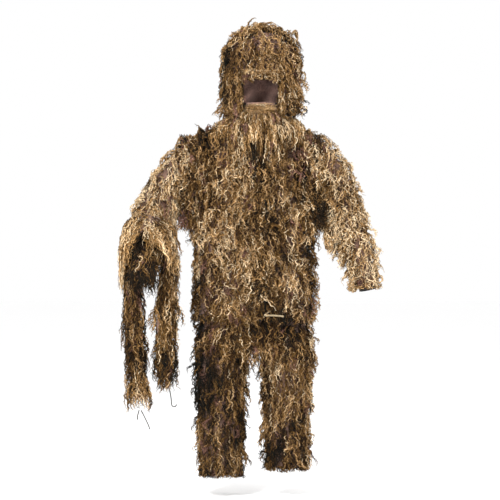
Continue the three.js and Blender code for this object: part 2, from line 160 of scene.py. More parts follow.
def make_lamp(name, size, power, place):
    """A soft square lamp that looks at the middle of the suit."""
    target = (0, 0, -0.45)
    data = bpy.data.lights.new(name, "AREA")
    data.shape = "SQUARE"
    data.size = size
    data.energy = power
    lamp = add_object(name, data)
    lamp.location = place
    lamp.rotation_euler = (Vector(target) - Vector(place)).to_track_quat("-Z", "Y").to_euler()


def make_studio():
    """Soft light from the front and above, on a pale floor under a pale sky."""
    bpy.context.scene.view_settings.view_transform = "Standard"
    world = bpy.data.worlds.new("studio")
    world.use_nodes = True
    world.node_tree.nodes["Background"].inputs["Color"].default_value = (1, 1, 1, 1)
    world.node_tree.nodes["Background"].inputs["Strength"].default_value = 1.0
    bpy.context.scene.world = world
    make_lamp("key", 1.2, 300, (-1.8, -4.4, 2.6))
    make_lamp("fill", 2.4, 60, (2.8, -4.0, 0.8))
    make_lamp("back", 2.0, 60, (1.0, 3.6, 2.4))
    half = 30.0
    mesh = bpy.data.meshes.new("studio_floor")
    corners = [(x * half, y * half, FLOOR_Z) for x, y in ((-1, -1), (1, -1), (1, 1), (-1, 1))]
    mesh.from_pydata(corners, [], [(0, 1, 2, 3)])
    material, _, _, shader = new_material("studio_paper")
    shader.inputs["Base Color"].default_value = grey(0.99)
    mesh.materials.append(material)
    add_object("studio_floor", mesh)


# ---- Materials ----
def new_material(name, roughness=0.9):
    material = bpy.data.materials.new(name)
    material.use_nodes = True
    nodes, links = material.node_tree.nodes, material.node_tree.links
    shader = nodes["Principled BSDF"]
    shader.inputs["Roughness"].default_value = roughness
    return material, nodes, links, shader


def srgb(red, green, blue):
    """A colour given in 0 to 255, as the linear colour that a shader takes."""
    values = np.array((red, green, blue)) / 255
    linear = np.where(values <= 0.04045, values / 12.92, ((values + 0.055) / 1.055) ** 2.4)
    return (*linear.tolist(), 1.0)


def ramp(nodes, links, value, stops):
    """The colour that a value has on a ramp."""
    node = nodes.new("ShaderNodeValToRGB")
    elements = node.color_ramp.elements
    while len(elements) < len(stops):
        elements.new(0.5)
    for element, (place, colour) in zip(elements, stops):
        element.position = place
        element.color = colour
    links.new(value, node.inputs["Fac"])
    return node.outputs["Color"]


def grey(value):
    return (value, value, value, 1)


def noise(nodes, links, place, scale, detail):
    node = nodes.new("ShaderNodeTexNoise")
    node.inputs["Scale"].default_value = scale
    node.inputs["Detail"].default_value = detail
    links.new(place, node.inputs["Vector"])
    return node.outputs["Fac"]


def multiply(nodes, links, first, second):
    node = nodes.new("ShaderNodeMix")
    node.data_type = "RGBA"
    node.blend_type = "MULTIPLY"
    node.inputs["Factor"].default_value = 1.0
    links.new(first, node.inputs["A"])
    links.new(second, node.inputs["B"])
    return node.outputs["Result"]


def bump(nodes, links, height, shader, distance):
    node = nodes.new("ShaderNodeBump")
    node.inputs["Distance"].default_value = distance
    node.inputs["Strength"].default_value = 1.0
    links.new(height, node.inputs["Height"])
    links.new(node.outputs["Normal"], shader.inputs["Normal"])


# A thread's tone is where it sits on this ramp: dyed dark, through brown and tan to bleached straw.
# Past MAUVE the ramp starts again with the few threads that were dyed a dull pink.
MAUVE = 0.86
PALEST = MAUVE - 0.03
YARN = [
    (0.00, srgb(20, 18, 9)), (0.14, srgb(46, 31, 13)), (0.28, srgb(86, 58, 26)),
    (0.38, srgb(118, 86, 42)), (0.48, srgb(150, 112, 65)), (0.62, srgb(194, 153, 102)),
    (0.76, srgb(230, 194, 146)), (0.84, srgb(246, 220, 180)),
    (MAUVE, srgb(80, 52, 46)), (1.00, srgb(166, 122, 102)),
]


def yarn_material():
    """Twisted yarn. UV runs tone across and root to tip up, so a baked map of it stays right."""
    material, nodes, links, shader = new_material("yarn", roughness=0.93)
    shader.inputs["Specular IOR Level"].default_value = 0.25
    place = nodes.new("ShaderNodeUVMap")
    place.uv_map = "OFBake"
    split = nodes.new("ShaderNodeSeparateXYZ")
    links.new(place.outputs["UV"], split.inputs["Vector"])
    dye = ramp(nodes, links, split.outputs["X"], YARN)
    # Painted shade with some dirt: each thread is darker towards its root, where it lies deep under the
    # others.
    painted_root_shade_and_dirt = [(0.0, grey(0.40)), (0.20, grey(0.80)), (0.5, grey(1.0)), (1.0, grey(1.0))]
    depth = ramp(nodes, links, split.outputs["Y"], painted_root_shade_and_dirt)
    stretch = nodes.new("ShaderNodeMapping")
    stretch.inputs["Scale"].default_value = (80, 13, 1)
    links.new(place.outputs["UV"], stretch.inputs["Vector"])
    fleck = noise(nodes, links, stretch.outputs["Vector"], 1.0, 3.0)
    # Painted light and shade over some mottling of the fibres: each thread turns lighter and darker along
    # its length, as if it twisted in and out of the light.
    marked = ramp(nodes, links, fleck, [(0.40, grey(0.46)), (0.50, grey(1.06)), (0.62, grey(1.42))])
    shaded = multiply(nodes, links, dye, depth)
    links.new(multiply(nodes, links, shaded, marked), shader.inputs["Base Color"])
    twist = nodes.new("ShaderNodeTexWave")
    twist.bands_direction = "DIAGONAL"
    twist.inputs["Scale"].default_value = 40.0
    twist.inputs["Distortion"].default_value = 2.0
    links.new(place.outputs["UV"], twist.inputs["Vector"])
    bump(nodes, links, twist.outputs["Fac"], shader, distance=0.0008)
    return material


def net_material(name, thread_colour, hole_shade_colour, cell=0.0045):
    """Knitted mesh cloth: small round holes in soft thread, painted dark as the shade seen through them,
    with faded and dirty areas.
    """
    material, nodes, links, shader = new_material(name, roughness=0.9)
    shader.inputs["Sheen Weight"].default_value = 0.1
    place = nodes.new("ShaderNodeTexCoord")
    cells = nodes.new("ShaderNodeTexVoronoi")
    cells.inputs["Scale"].default_value = 1 / cell
    cells.inputs["Randomness"].default_value = 0.25
    links.new(place.outputs["Object"], cells.inputs["Vector"])
    # Painted shade: the holes take the dark colour of the inside seen through them.
    holes = ramp(nodes, links, cells.outputs["Distance"], [(0.22, hole_shade_colour), (0.42, thread_colour)])
    dirt = noise(nodes, links, place.outputs["Object"], 14, 6)
    faded = ramp(nodes, links, dirt, [(0.3, grey(0.55)), (0.7, grey(1.15))])
    links.new(multiply(nodes, links, holes, faded), shader.inputs["Base Color"])
    bump(nodes, links, cells.outputs["Distance"], shader, distance=0.0015)
    return material


def woven_material(name, light, dark, rib, roughness):
    """Narrow woven goods: ribs of a given width, a nap, and paler worn places."""
    material, nodes, links, shader = new_material(name, roughness)
    shader.inputs["Sheen Weight"].default_value = 0.08
    place = nodes.new("ShaderNodeTexCoord")
    ribs = nodes.new("ShaderNodeTexWave")
    ribs.bands_direction = "DIAGONAL"
    ribs.inputs["Scale"].default_value = 0.31 / rib
    ribs.inputs["Distortion"].default_value = 1.0
    links.new(place.outputs["Object"], ribs.inputs["Vector"])
    wear = noise(nodes, links, place.outputs["Object"], 60, 5)
    dyed = ramp(nodes, links, wear, [(0.35, dark), (0.75, light)])
    shade = ramp(nodes, links, ribs.outputs["Fac"], [(0.0, grey(0.6)), (1.0, grey(1.1))])
    links.new(multiply(nodes, links, dyed, shade), shader.inputs["Base Color"])
    bump(nodes, links, ribs.outputs["Fac"], shader, distance=rib * 0.5)
    return material


def metal_material():
    """Dark painted brass, with the paint rubbed thin in places."""
    material, nodes, links, shader = new_material("stud_metal", roughness=0.4)
    shader.inputs["Metallic"].default_value = 0.85
    place = nodes.new("ShaderNodeTexCoord")
    rub = noise(nodes, links, place.outputs["Object"], 240, 6)
    paint = ramp(nodes, links, rub, [(0.45, srgb(58, 50, 38)), (0.7, srgb(140, 118, 78))])
    links.new(paint, shader.inputs["Base Color"])
    rough = ramp(nodes, links, rub, [(0.3, grey(0.6)), (0.8, grey(0.3))])
    links.new(rough, shader.inputs["Roughness"])
    bump(nodes, links, rub, shader, distance=0.0002)
    return material


YARN_MATERIAL = yarn_material()
NET_MATERIAL = net_material("mesh_cloth", srgb(140, 108, 92), srgb(46, 33, 27))
LINING_MATERIAL = net_material("mesh_cloth_inside", srgb(146, 112, 100), srgb(58, 42, 38))
ELASTIC_MATERIAL = woven_material("black_elastic", srgb(44, 40, 36), srgb(17, 15, 13), 0.0016, 0.85)
TAPE_MATERIAL = woven_material("cotton_tape", srgb(196, 176, 140), srgb(150, 130, 98), 0.0010, 0.9)
CORD_MATERIAL = woven_material("tie_cord", srgb(62, 50, 38), srgb(26, 21, 16), 0.0018, 0.85)
STUD_MATERIAL = metal_material()


# ---- Ties ----
def smooth_route(route, count):
    """Evenly spaced points on a smooth curve through a route's points, and the curve's length."""
    knots = np.array(route)
    ends = np.concatenate([[2 * knots[0] - knots[1]], knots, [2 * knots[-1] - knots[-2]]])
    fine = []
    for a, b, c, d in zip(ends, ends[1:], ends[2:], ends[3:]):
        for t in np.linspace(0, 1, 12, endpoint=False):
            bend = (2 * a - 5 * b + 4 * c - d) * t ** 2 + (3 * b - a - 3 * c + d) * t ** 3
            fine.append(0.5 * (2 * b + (c - a) * t + bend))
    fine = np.array([*fine, knots[-1]])
    run = run_along(fine)
    return between(np.linspace(0, run[-1], count), run, fine), run[-1]


def tie(node, body, route):
    """A limp cord that hangs from the end of the wrap, cut off at its tip as the real one is."""
    points, length = smooth_route(route, 24)
    curve = bpy.data.curves.new(f"{node}_cord", "CURVE")
    curve.dimensions = "3D"
    curve.bevel_depth = TIE_DIAMETER / 2
    curve.bevel_resolution = 3
    curve.use_fill_caps = True
    spline = curve.splines.new("POLY")
    spline.points.add(len(points) - 1)
    spline.points.foreach_set("co", np.column_stack([points, np.ones(len(points))]).ravel())
    curve.materials.append(CORD_MATERIAL)
    cord = add_object(f"{node}_cord", curve)
    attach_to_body(cord, body)
    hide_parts(node)


# ---- Skins ----
class Skin:
    """A grid of points on the outside of some CAD cloth, its normals, and where there is cloth."""

    def __init__(self, points, normals, cloth):
        self.points, self.normals, self.cloth = points, normals, cloth
        steps = np.linalg.norm(np.diff(points, axis=0), axis=2).mean(axis=1)
        self.depth = np.concatenate([[0], np.cumsum(steps)])

    def at(self, rows, columns):
        """Points and normals at fractions of rows and columns, and whether cloth is there."""
        r = np.clip(rows, 0, len(self.points) - 1.001)
        r0, c0 = np.floor(r).astype(int), np.floor(columns).astype(int)
        fr, fc = (r - r0)[:, None], (columns - c0)[:, None]
        c0, c1 = c0 % self.points.shape[1], (c0 + 1) % self.points.shape[1]

        def mixed(grid):
            upper = grid[r0, c0] * (1 - fc) + grid[r0, c1] * fc
            lower = grid[r0 + 1, c0] * (1 - fc) + grid[r0 + 1, c1] * fc
            return upper * (1 - fr) + lower * fr

        return mixed(self.points), unit(mixed(self.normals)), self.cloth[r0, c0] & self.cloth[r0 + 1, c1]

    def row_at(self, depth):
        return int(round(np.interp(depth, self.depth, np.arange(len(self.depth)))))

    def middle(self, row):
        return self.points[row].mean(axis=0)

    def rows_between(self, first, last):
        """The same skin from one row to another."""
        chosen = slice(first, last + 1)
        return Skin(self.points[chosen], self.normals[chosen], self.cloth[chosen])


def cloth_tree(names):
    points, faces = [], []
    for name in names:
        mesh = NODES[name].data
        first = len(points)
        points.extend(vertex.co[:] for vertex in mesh.vertices)
        faces.extend([first + index for index in polygon.vertices] for polygon in mesh.polygons)
    return BVHTree.FromPolygons(points, faces)


def fill_round(points):
    """Fills the holes in each row that has some cloth, going round it."""
    count = points.shape[1]
    for row in points:
        good = np.flatnonzero(~np.isnan(row[:, 0]))
        if 3 < len(good) < count:
            for axis in range(3):
                row[:, axis] = np.interp(np.arange(count), good, row[good, axis], period=count)


def fill_down(points):
    """Fills whole missing rows from the rows above and below them."""
    good = np.flatnonzero(~np.isnan(points[:, 0, 0]))
    for column in range(points.shape[1]):
        for axis in range(3):
            line = points[:, column, axis]
            line[:] = np.interp(np.arange(len(line)), good, line[good])


def smoothed(points, passes=3):
    """Rounds off the flats of the CAD cloth."""
    for _ in range(passes):
        round_it = (np.roll(points, 1, axis=1) + 2 * points + np.roll(points, -1, axis=1)) / 4
        points = round_it
        points[1:-1] = (round_it[:-2] + 2 * round_it[1:-1] + round_it[2:]) / 4
    return points


def skin_of(names, stations, sides, reach=0.6):
    """Casts rays in from outside, towards each station's origin, and keeps where they meet the cloth."""
    tree = cloth_tree(names)
    points = np.full((len(stations), sides, 3), np.nan)
    centres = np.array([station[0] for station in stations])
    for r, (origin, across, forth, lift) in enumerate(stations):
        axis = np.cross(across, forth)
        for c in range(sides):
            angle = 2 * math.pi * c / sides
            level = math.cos(angle) * across + math.sin(angle) * forth
            out = level * math.cos(lift) + axis * math.sin(lift)
            found = tree.ray_cast(Vector(origin + out * reach), Vector(-out), reach)[0]
            if found:
                points[r, c] = found
    cloth = ~np.isnan(points[..., 0])
    cloth |= np.roll(cloth, 1, axis=1) & np.roll(cloth, -1, axis=1)
    fill_round(points)
    fill_down(points)
    points = smoothed(points)
    down = np.gradient(points, axis=0)
    along = np.roll(points, -1, axis=1) - np.roll(points, 1, axis=1)
    normals = unit(np.cross(along, down))
    facing = np.sum(normals * (points - centres[:, None, :]), axis=2)[cloth].mean()
    return Skin(points, normals * np.sign(facing), cloth)


def extended(skin, shift, scale, rows):
    """The skin with a few more rows before its first, for cloth that runs on under the next part."""
    ring = skin.points[0]
    middle = ring.mean(axis=0)
    far = middle + (ring - middle) * scale + np.array(shift)
    shares = np.linspace(0, 1, rows, endpoint=False)[:, None, None]
    points = np.concatenate([far * (1 - shares) + ring * shares, skin.points])
    normals = np.concatenate([np.repeat(skin.normals[:1], rows, axis=0), skin.normals])
    cloth = np.ones(points.shape[:2], bool)
    return Skin(points, normals, cloth)


def upright(x, y, places, rows):
    """Stations on a vertical line. places are (height, lift in degrees), with rows between each two."""
    stations = []
    for (z0, lift0), (z1, lift1), count in zip(places, places[1:], rows):
        for step in range(count):
            share = step / count
            z, lift = z0 + (z1 - z0) * share, lift0 + (lift1 - lift0) * share
            stations.append((np.array((x, y, z)), RIGHT, BACK, math.radians(lift)))
    z, lift = places[-1]
    stations.append((np.array((x, y, z)), RIGHT, BACK, math.radians(lift)))
    return stations


# Middle of a sleeve and the way to its outer side, from the armhole to the elbow, in the XZ plane.
# fold is the elbow's bend in degrees, forearm is from and to how far below the elbow, and drift is how
# far the forearm leans out.
SLEEVES = {
    "left": {
        "middles": [(0.264, -0.107), (0.322, -0.200), (0.358, -0.328)],
        "outward": [(0.00, 1.00), (0.79, 0.61), (0.98, 0.21)],
        "fold": 8, "forearm": (0.009, 0.297), "drift": 0.036,
    },
    "right": {
        "middles": [(-0.276, -0.107), (-0.340, -0.208), (-0.393, -0.317)],
        "outward": [(0.15, 0.99), (-0.71, 0.71), (-0.87, 0.50)],
        "fold": 58, "forearm": (0.009, 0.261), "drift": 0.0,
    },
}
SHOULDER_ROWS, UPPER_ROWS, FOREARM_ROWS = 5, 18, 18


def sleeve_stations(side):
    """Stations down the upper sleeve, then down the forearm, which is turned at the elbow's hinge."""
    sizes = SLEEVES[side]
    stations = []
    middles = np.array([(x, 0, z) for x, z in sizes["middles"]])
    outward = unit(np.array([(x, 0, z) for x, z in sizes["outward"]]))
    for step in range(UPPER_ROWS):
        place = 2 * step / (UPPER_ROWS - 1)
        across = unit(between(place, range(3), outward))
        stations.append((between(place, range(3), middles), across, BACK, 0.0))
    elbow, across = middles[-1], outward[-1]
    along = np.cross(BACK, across)
    along *= -np.sign(along[2])
    hinge = JOINTS[f"{side}_elbow"]
    pivot = np.array(hinge["pos_m"])
    turn = np.array(Matrix.Rotation(math.radians(sizes["fold"]), 3, Vector(hinge["axis"])))
    for step in range(FOREARM_ROWS):
        share = step / (FOREARM_ROWS - 1)
        below = sizes["forearm"][0] + (sizes["forearm"][1] - sizes["forearm"][0]) * share
        middle = elbow + along * below + across * sizes["drift"] * share
        stations.append((pivot + turn @ (middle - pivot), turn @ across, turn @ BACK, 0.0))
    return stations


def make_skins():
    skins = {
        "jacket": skin_of(
            ["jacket_back", "jacket_front_left", "jacket_front_right", "front_flap"],
            upright(0, 0, [(-0.15, 52), (-0.15, 0), (-0.747, 0)], [14, 34]), 112,
        ),
        "hood": skin_of(
            ["hood_left", "hood_right"],
            upright(HOOD_X, 0, [(0.25, 89.6), (0.25, 0), (0.067, 0)], [20, 12]), 88,
        ),
        "neck_drape": skin_of(["neck_drape"], upright(HOOD_X, 0, [(0.059, 0), (0.021, 0)], [4]), 88),
        "chin_flap": skin_of(["chin_flap"], upright(HOOD_X, 0, [(0.1055, 0), (0.0685, 0)], [4]), 88),
        "seat": skin_of(
            ["trouser_seat_front", "trouser_seat_back"],
            upright(0, 0, [(-0.653, 0), (-0.875, 0)], [16]), 96,
        ),
    }
    for side, sign in (("left", 1), ("right", -1)):
        lower = skin_of(
            [f"{side}_thigh", f"{side}_shin"],
            upright(sign * LEG_X, 0, [(-0.889, 0), (-1.383, 0)], [36]), 56,
        )
        skins[f"{side}_leg"] = extended(lower, (-0.01 * sign, 0, 0.09), 0.9, 6)
        arm = skin_of(
            [f"{side}_upper_sleeve", f"{side}_forearm_sleeve"], sleeve_stations(side), 48, reach=0.2,
        )
        skins[f"{side}_sleeve"] = extended(arm, (-0.057 * sign, 0, 0), 1.05, SHOULDER_ROWS)
    skins["bib"] = skin_of(["drape_front_threads"], upright(0, 0, [(0.010, 0), (-0.07, 0)], [5]), 112)
    skins["saddle"] = skin_of(["wrap_saddle"], saddle_stations(), 48, reach=0.2)
    return skins


def saddle_stations():
    """Stations along the right forearm, under the wrap that lies over it."""
    arm = sleeve_stations("right")[UPPER_ROWS:]
    first, last = arm[0][0], arm[-1][0]
    along = unit(last - first)
    across = unit(np.cross(UP, along))
    over = np.cross(along, across)
    over *= np.sign(over[2])
    return [(first + along * below, across, over, 0.0) for below in np.linspace(0.056, 0.185, 10)]


# ---- Threads ----
def skins_tree(skins):
    """One tree of every skin, for threads to lie on. Its faces look outward."""
    points, faces = [], []
    for skin in skins:
        rows, sides = skin.points.shape[:2]
        first = len(points)
        points.extend(skin.points.reshape(-1, 3).tolist())
        for r in range(rows - 1):
            for c in range(sides):
                a, b = first + r * sides + c, first + r * sides + (c + 1) % sides
                faces.append((a, b, b + sides, a + sides))
        corner = np.array([points[i] for i in faces[-1]])
        normal = np.cross(corner[1] - corner[0], corner[3] - corner[0])
        if np.dot(normal, skin.normals[rows - 2, sides - 1]) < 0:
            start = len(faces) - (rows - 1) * sides
            faces[start:] = [face[::-1] for face in faces[start:]]
    return BVHTree.FromPolygons(points, faces)


def kept_above(points, heights, tree):
    """Points moved out of the cloth, to stand at least their height off it."""
    moved = points.copy()
    for i, point in enumerate(points):
        found, normal, _, _ = tree.find_nearest(Vector(point), 0.12)
        if found is None:
            continue
        off = (Vector(point) - found).dot(normal)
        if off < heights[i]:
            moved[i] += np.array(normal) * (heights[i] - off)
    return moved


def hanging_paths(roots, normals, lengths, heights, tree, sway, spring):
    """Paths that leave the cloth, bend over and hang down on what is under them."""
    count, droop, stiffness, soonest_up = len(roots), 0.5, 0.75, 6
    paths = np.empty((count, THREAD_POINTS, 3))
    paths[:, 0] = roots
    step = lengths[:, None] / (THREAD_POINTS - 1)
    heading = unit(normals * spring + DOWN * droop)
    for k in range(1, THREAD_POINTS):
        drift = RNG.normal(size=(count, 3)) * sway
        heading = unit(heading * stiffness + DOWN * (1 - stiffness) + drift)
        rise = min(1.0, soonest_up * k / THREAD_POINTS)
        wanted = paths[:, k - 1] + heading * step
        if tree:
            wanted = kept_above(wanted, heights * rise, tree)
        heading = unit(wanted - paths[:, k - 1])
        paths[:, k] = paths[:, k - 1] + heading * step
    return paths


def along_paths(paths, shares):
    """Each path again, from its root to a share of its length."""
    places = shares[:, None] * np.arange(THREAD_POINTS)[None, :]
    low = np.minimum(places.astype(int), THREAD_POINTS - 2)
    part = (places - low)[..., None]
    index = np.arange(len(paths))[:, None]
    return paths[index, low] * (1 - part) + paths[index, low + 1] * part


def cut_raggedly(guides, per, lowest):
    """Each guide as several threads of uneven length, cut off where they would hang below its lowest."""
    lowest = np.broadcast_to(lowest, len(guides))
    above = (guides[..., 2] > lowest[:, None]).sum(axis=1) / THREAD_POINTS
    count = len(guides) * per
    shares = np.minimum(
        RNG.uniform(0.6, 1.0, count),
        np.repeat(above, per) * RNG.uniform(0.82, 1.06, count),
    )
    return along_paths(np.repeat(guides, per, axis=0), np.clip(shares, 0.12, 1.0))


def threads_round(guides, normals, tones, style, lowest):
    """Several curly threads round each guide, spread along the row at the root, gathered lower down."""
    per = style["per"]
    paths = cut_raggedly(guides, per, lowest)
    out = np.repeat(normals, per, axis=0)[:, None, :]
    side = unit(np.cross(out, DOWN) + 1e-3)
    count = len(paths)
    down = np.linspace(0, 1, THREAD_POINTS)
    gathering = 1 - 0.45 * np.sin(down * math.pi * 0.6)
    spread = RNG.uniform(-1, 1, count)[:, None] * style["spread"] * gathering
    outer = RNG.uniform(0, 1, count)
    proud = outer[:, None] * style["proud"] * np.sin(down * math.pi * 0.9 + 0.1)
    run = np.linalg.norm(np.diff(paths, axis=1), axis=2).sum(axis=1)
    free = np.minimum(1, down * 5)
    for way, share in ((side, 1.0), (out, 0.9), (UP, 0.5)):
        offset = curls(run, down, style["curl"]) + curls(run, down, style["loop"], 2.3)
        paths = paths + way * (share * free * offset)[..., None]
    paths += side * spread[..., None] + out * proud[..., None]
    paths += RNG.normal(size=paths.shape) * style["kink"] * free[:, None]
    # Painted light: the threads that stand furthest out are made lighter by lift.
    tone = np.repeat(tones, per) + style["lift"] * (outer - 0.5)
    tone = np.clip(tone + RNG.normal(size=count) * style["fleck"], 0.0, PALEST)
    dyed = np.repeat(RNG.random(len(guides)) < style["mauve"], per)
    tone[dyed] = RNG.uniform(MAUVE + 0.005, 0.985, dyed.sum())
    return within_outline(paths), tone


def curls(run, down, size, longer=1.0):
    """A wave down each thread, of uneven length, size and start."""
    count = len(run)
    turns = run / (CURL_LENGTH * longer * RNG.uniform(0.7, 1.5, count))
    phase = 2 * math.pi * (turns[:, None] * down + RNG.uniform(0, 1, count)[:, None])
    return size * RNG.uniform(0.3, 1.3, count)[:, None] * np.sin(phase)


def within_outline(paths):
    """Presses in the threads that stand far out on the wearer's right, and keeps all in the suit's box."""
    count = len(paths)
    edge = RNG.uniform(-0.522, -0.498, count)[:, None]
    give = RNG.uniform(0.1, 0.5, count)[:, None]
    past_edge = np.minimum(paths[..., 0] - edge, 0)
    paths[..., 0] -= past_edge * (1 - give)
    spare = SPARE * RNG.uniform(0.4, 1.0, count)[:, None, None]
    above = spare * (1 - np.exp(-np.maximum(paths - CAD_HIGH, 0) / spare))
    below = spare * (1 - np.exp(-np.maximum(CAD_LOW - paths, 0) / spare))
    return np.clip(paths, CAD_LOW, CAD_HIGH) + above - below


def tube_mesh(name, paths, tones):
    """One mesh of three-sided tubes, with tone and root-to-tip as its UV."""
    count, points = paths.shape[:2]
    heading = unit(np.gradient(paths, axis=1))
    aside = unit(RNG.normal(size=(count, 1, 3)) * (1, 1, 0.2))
    first = unit(np.cross(heading, aside))
    second = np.cross(heading, first)
    taper = np.interp(np.linspace(0, 1, points), [0, 0.1, 0.8, 1], [0.7, 1, 1, 0.45])
    thick = THREAD_RADIUS * RNG.uniform(0.75, 1.25, count)[:, None] * taper
    corners = []
    for angle in 2 * math.pi * np.arange(3) / 3:
        corners.append(paths + (first * math.cos(angle) + second * math.sin(angle)) * thick[..., None])
    vertices = np.stack(corners, axis=2).reshape(-1, 3)
    start = (np.arange(count) * points * 3)[:, None]
    ring = (start + np.arange(points - 1) * 3)[..., None]
    k, following = np.arange(3), (np.arange(3) + 1) % 3
    quads = [ring + k, ring + following, ring + 3 + following, ring + 3 + k]
    quads = np.stack(quads, axis=3).reshape(-1, 4)
    caps = np.concatenate([start + [2, 1, 0], start + (points - 1) * 3 + [0, 1, 2]])
    mesh = bpy.data.meshes.new(name)
    fill_mesh(mesh, vertices, quads, caps)
    thread_uv(mesh, quads, caps, tones, points)
    mesh.shade_smooth()
    return mesh


def fill_mesh(mesh, vertices, quads, triangles):
    mesh.vertices.add(len(vertices))
    mesh.vertices.foreach_set("co", vertices.astype(np.float32).ravel())
    loops = np.concatenate([quads.ravel(), triangles.ravel()]).astype(np.int32)
    mesh.loops.add(len(loops))
    mesh.loops.foreach_set("vertex_index", loops)
    starts = np.concatenate([
        np.arange(len(quads)) * 4,
        len(quads) * 4 + np.arange(len(triangles)) * 3,
    ]).astype(np.int32)
    mesh.polygons.add(len(starts))
    mesh.polygons.foreach_set("loop_start", starts)
    mesh.update(calc_edges=True)


def add_uv(mesh, uv):
    layer = mesh.uv_layers.new(name="OFBake")
    layer.uv.foreach_set("vector", uv.astype(np.float32).ravel())


def thread_uv(mesh, quads, caps, tones, points):
    """U is the thread's tone, a hair wider on each side of the tube, and V is how far down the thread."""
    hair = 1 / 400
    loops = np.concatenate([quads.ravel(), caps.ravel()])
    thread, within = loops // (points * 3), loops % (points * 3)
    side = (within % 3).astype(float)
    closing = np.zeros(len(loops), bool)
    closing[:quads.size] = (np.arange(quads.size) // 4) % 3 == 2
    side[closing & (side == 0)] = 3
    u = tones[thread] + hair * side
    v = 0.002 + 0.996 * (within // 3) / (points - 1)
    add_uv(mesh, np.stack([u, v], axis=1))


def thread_pieces(name, paths, tones):
    """The threads as one or more pieces, each a band from higher to lower roots."""
    order = np.argsort(-paths[:, 0, 2], kind="stable")
    parts = max(1, math.ceil(len(order) / THREADS_A_PIECE))
    made = []
    for number, chosen in enumerate(np.array_split(order, parts)):
        label = name if parts == 1 else f"{name}_{number + 1}"
        mesh = tube_mesh(label, paths[chosen], tones[chosen])
        mesh.materials.append(YARN_MATERIAL)
        piece = add_object(label, mesh)
        made.append(piece)
    return made


def ride_all(pieces, body, *replaced):
    for piece in pieces:
        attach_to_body(piece, body)
    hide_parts(*replaced)


def blend_all(pieces, first, second, start, end):
    for piece in pieces:
        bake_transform(piece)
        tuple(start)
        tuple(end)


# ---- Colour over the suit ----
# Where the threads are darker: x, z, radius, and how far down the ramp. All of them are on the front. The
# one at x -0.43, z -0.55 is painted shade, under the right forearm and over the mouth of its cuff.
DARK_PATCHES = [
    (-0.17, -0.04, 0.07, 0.36), (-0.08, 0.31, 0.045, 0.36), (0.01, -0.05, 0.032, 0.50),
    (0.01, -0.13, 0.040, 0.46), (0.07, -0.18, 0.035, 0.36), (0.10, -0.09, 0.020, 0.36),
    (0.01, -0.24, 0.025, 0.36), (0.01, -0.32, 0.025, 0.34), (0.07, -0.34, 0.028, 0.34),
    (0.08, -0.42, 0.030, 0.36), (0.08, -0.50, 0.025, 0.30), (0.05, -0.58, 0.045, 0.32),
    (-0.22, -0.62, 0.05, 0.40), (-0.19, -0.76, 0.06, 0.34), (0.10, -0.76, 0.09, 0.42),
    (0.24, -0.46, 0.045, 0.34), (0.25, -0.60, 0.045, 0.36), (0.25, -0.18, 0.030, 0.30),
    (0.25, -0.30, 0.030, 0.26), (-0.22, -0.92, 0.08, 0.50), (-0.20, -1.04, 0.07, 0.46),
    (-0.06, -1.16, 0.06, 0.34), (0.09, -1.26, 0.08, 0.34), (0.06, -1.02, 0.05, 0.28),
    (-0.06, -0.80, 0.06, 0.24), (-0.43, -0.55, 0.07, 0.50), (-0.44, -0.44, 0.03, 0.40),
    (-0.46, -0.86, 0.06, 0.30), (-0.36, -0.88, 0.05, 0.28),
]
WAVES = [
    (RNG.normal(size=3) * scale, RNG.uniform(0, 6.28))
    for scale in (9, 13, 19, 27, 38) for _ in range(3)
]


def mottle(points):
    """Soft random patches, from about -1 to 1."""
    total = sum(np.sin(points @ direction + phase) for direction, phase in WAVES)
    return total / math.sqrt(len(WAVES) / 2) / 1.6


def tones_at(points, base):
    patchiness, fleck, front_y = 0.06, 0.03, 0.03
    tone = base + patchiness * mottle(points) + RNG.normal(size=len(points)) * fleck
    front = points[:, 1] < front_y
    for x, z, radius, darker in DARK_PATCHES:
        near = np.hypot(points[:, 0] - x, points[:, 2] - z) / radius
        tone -= front * darker * np.exp(-near ** 2)
    return tone


# ---- Rows of tufts ----
# A guide is the path of a tuft of threads. Lengths are in metres and tones are shares of the yarn's ramp.
# per: threads round a guide. row, gap: distance between rows and along a row.
# spread, proud: how far threads leave their guide to the side and outward.
# length, height: of the guides, and how far they stand off the cloth.
# spring, sway: how far a tuft stands out before it falls, and how much it wanders.
# curl, loop, kink: size of the small and the large curls and of the crinkles.
# shade, lift: how much darker the buried guides, as painted shade, and how much lighter the outer threads,
# as painted light, are.
# fleck, mauve: how much tones differ, and the share of tufts dyed a dull pink.
CURL_LENGTH = 0.018
SHAGGY = {
    "per": 5, "row": 0.025, "gap": 0.020, "spread": 0.022, "proud": 0.010,
    "length": (0.08, 0.135), "height": (0.001, 0.014), "spring": 0.6, "sway": 0.26,
    "curl": 0.0036, "loop": 0.0050, "kink": 0.0014,
    "shade": 0.45, "lift": 0.34, "fleck": 0.17, "mauve": 0.04,
}
CLOSE = {**SHAGGY, "height": (0.001, 0.007), "proud": 0.005, "spring": 0.3, "curl": 0.0030, "loop": 0.0042}
FLAT = {**CLOSE, "proud": 0.003, "spring": 0.1}
STRAIGHT = {
    **SHAGGY, "per": 6, "gap": 0.016, "spread": 0.012, "length": (0.10, 0.17), "sway": 0.08,
    "curl": 0.0018, "loop": 0.003,
}
FRINGE = {**SHAGGY, "spread": 0.012, "length": (0.03, 0.07), "gap": 0.014}
FLAP = {**SHAGGY, "spread": 0.012, "proud": 0.006, "loop": 0.003, "sway": 0.10, "gap": 0.018}
TAIL = {**SHAGGY, "spread": 0.014, "spring": 0.3, "row": 0.024, "sway": 0.18, "length": (0.10, 0.17)}
LOCK = {**SHAGGY, "per": 26, "spread": 0.008, "spring": 3.0, "shade": 0.0, "sway": 0.14, "mauve": 0.0}
BASE_TONE = 0.62

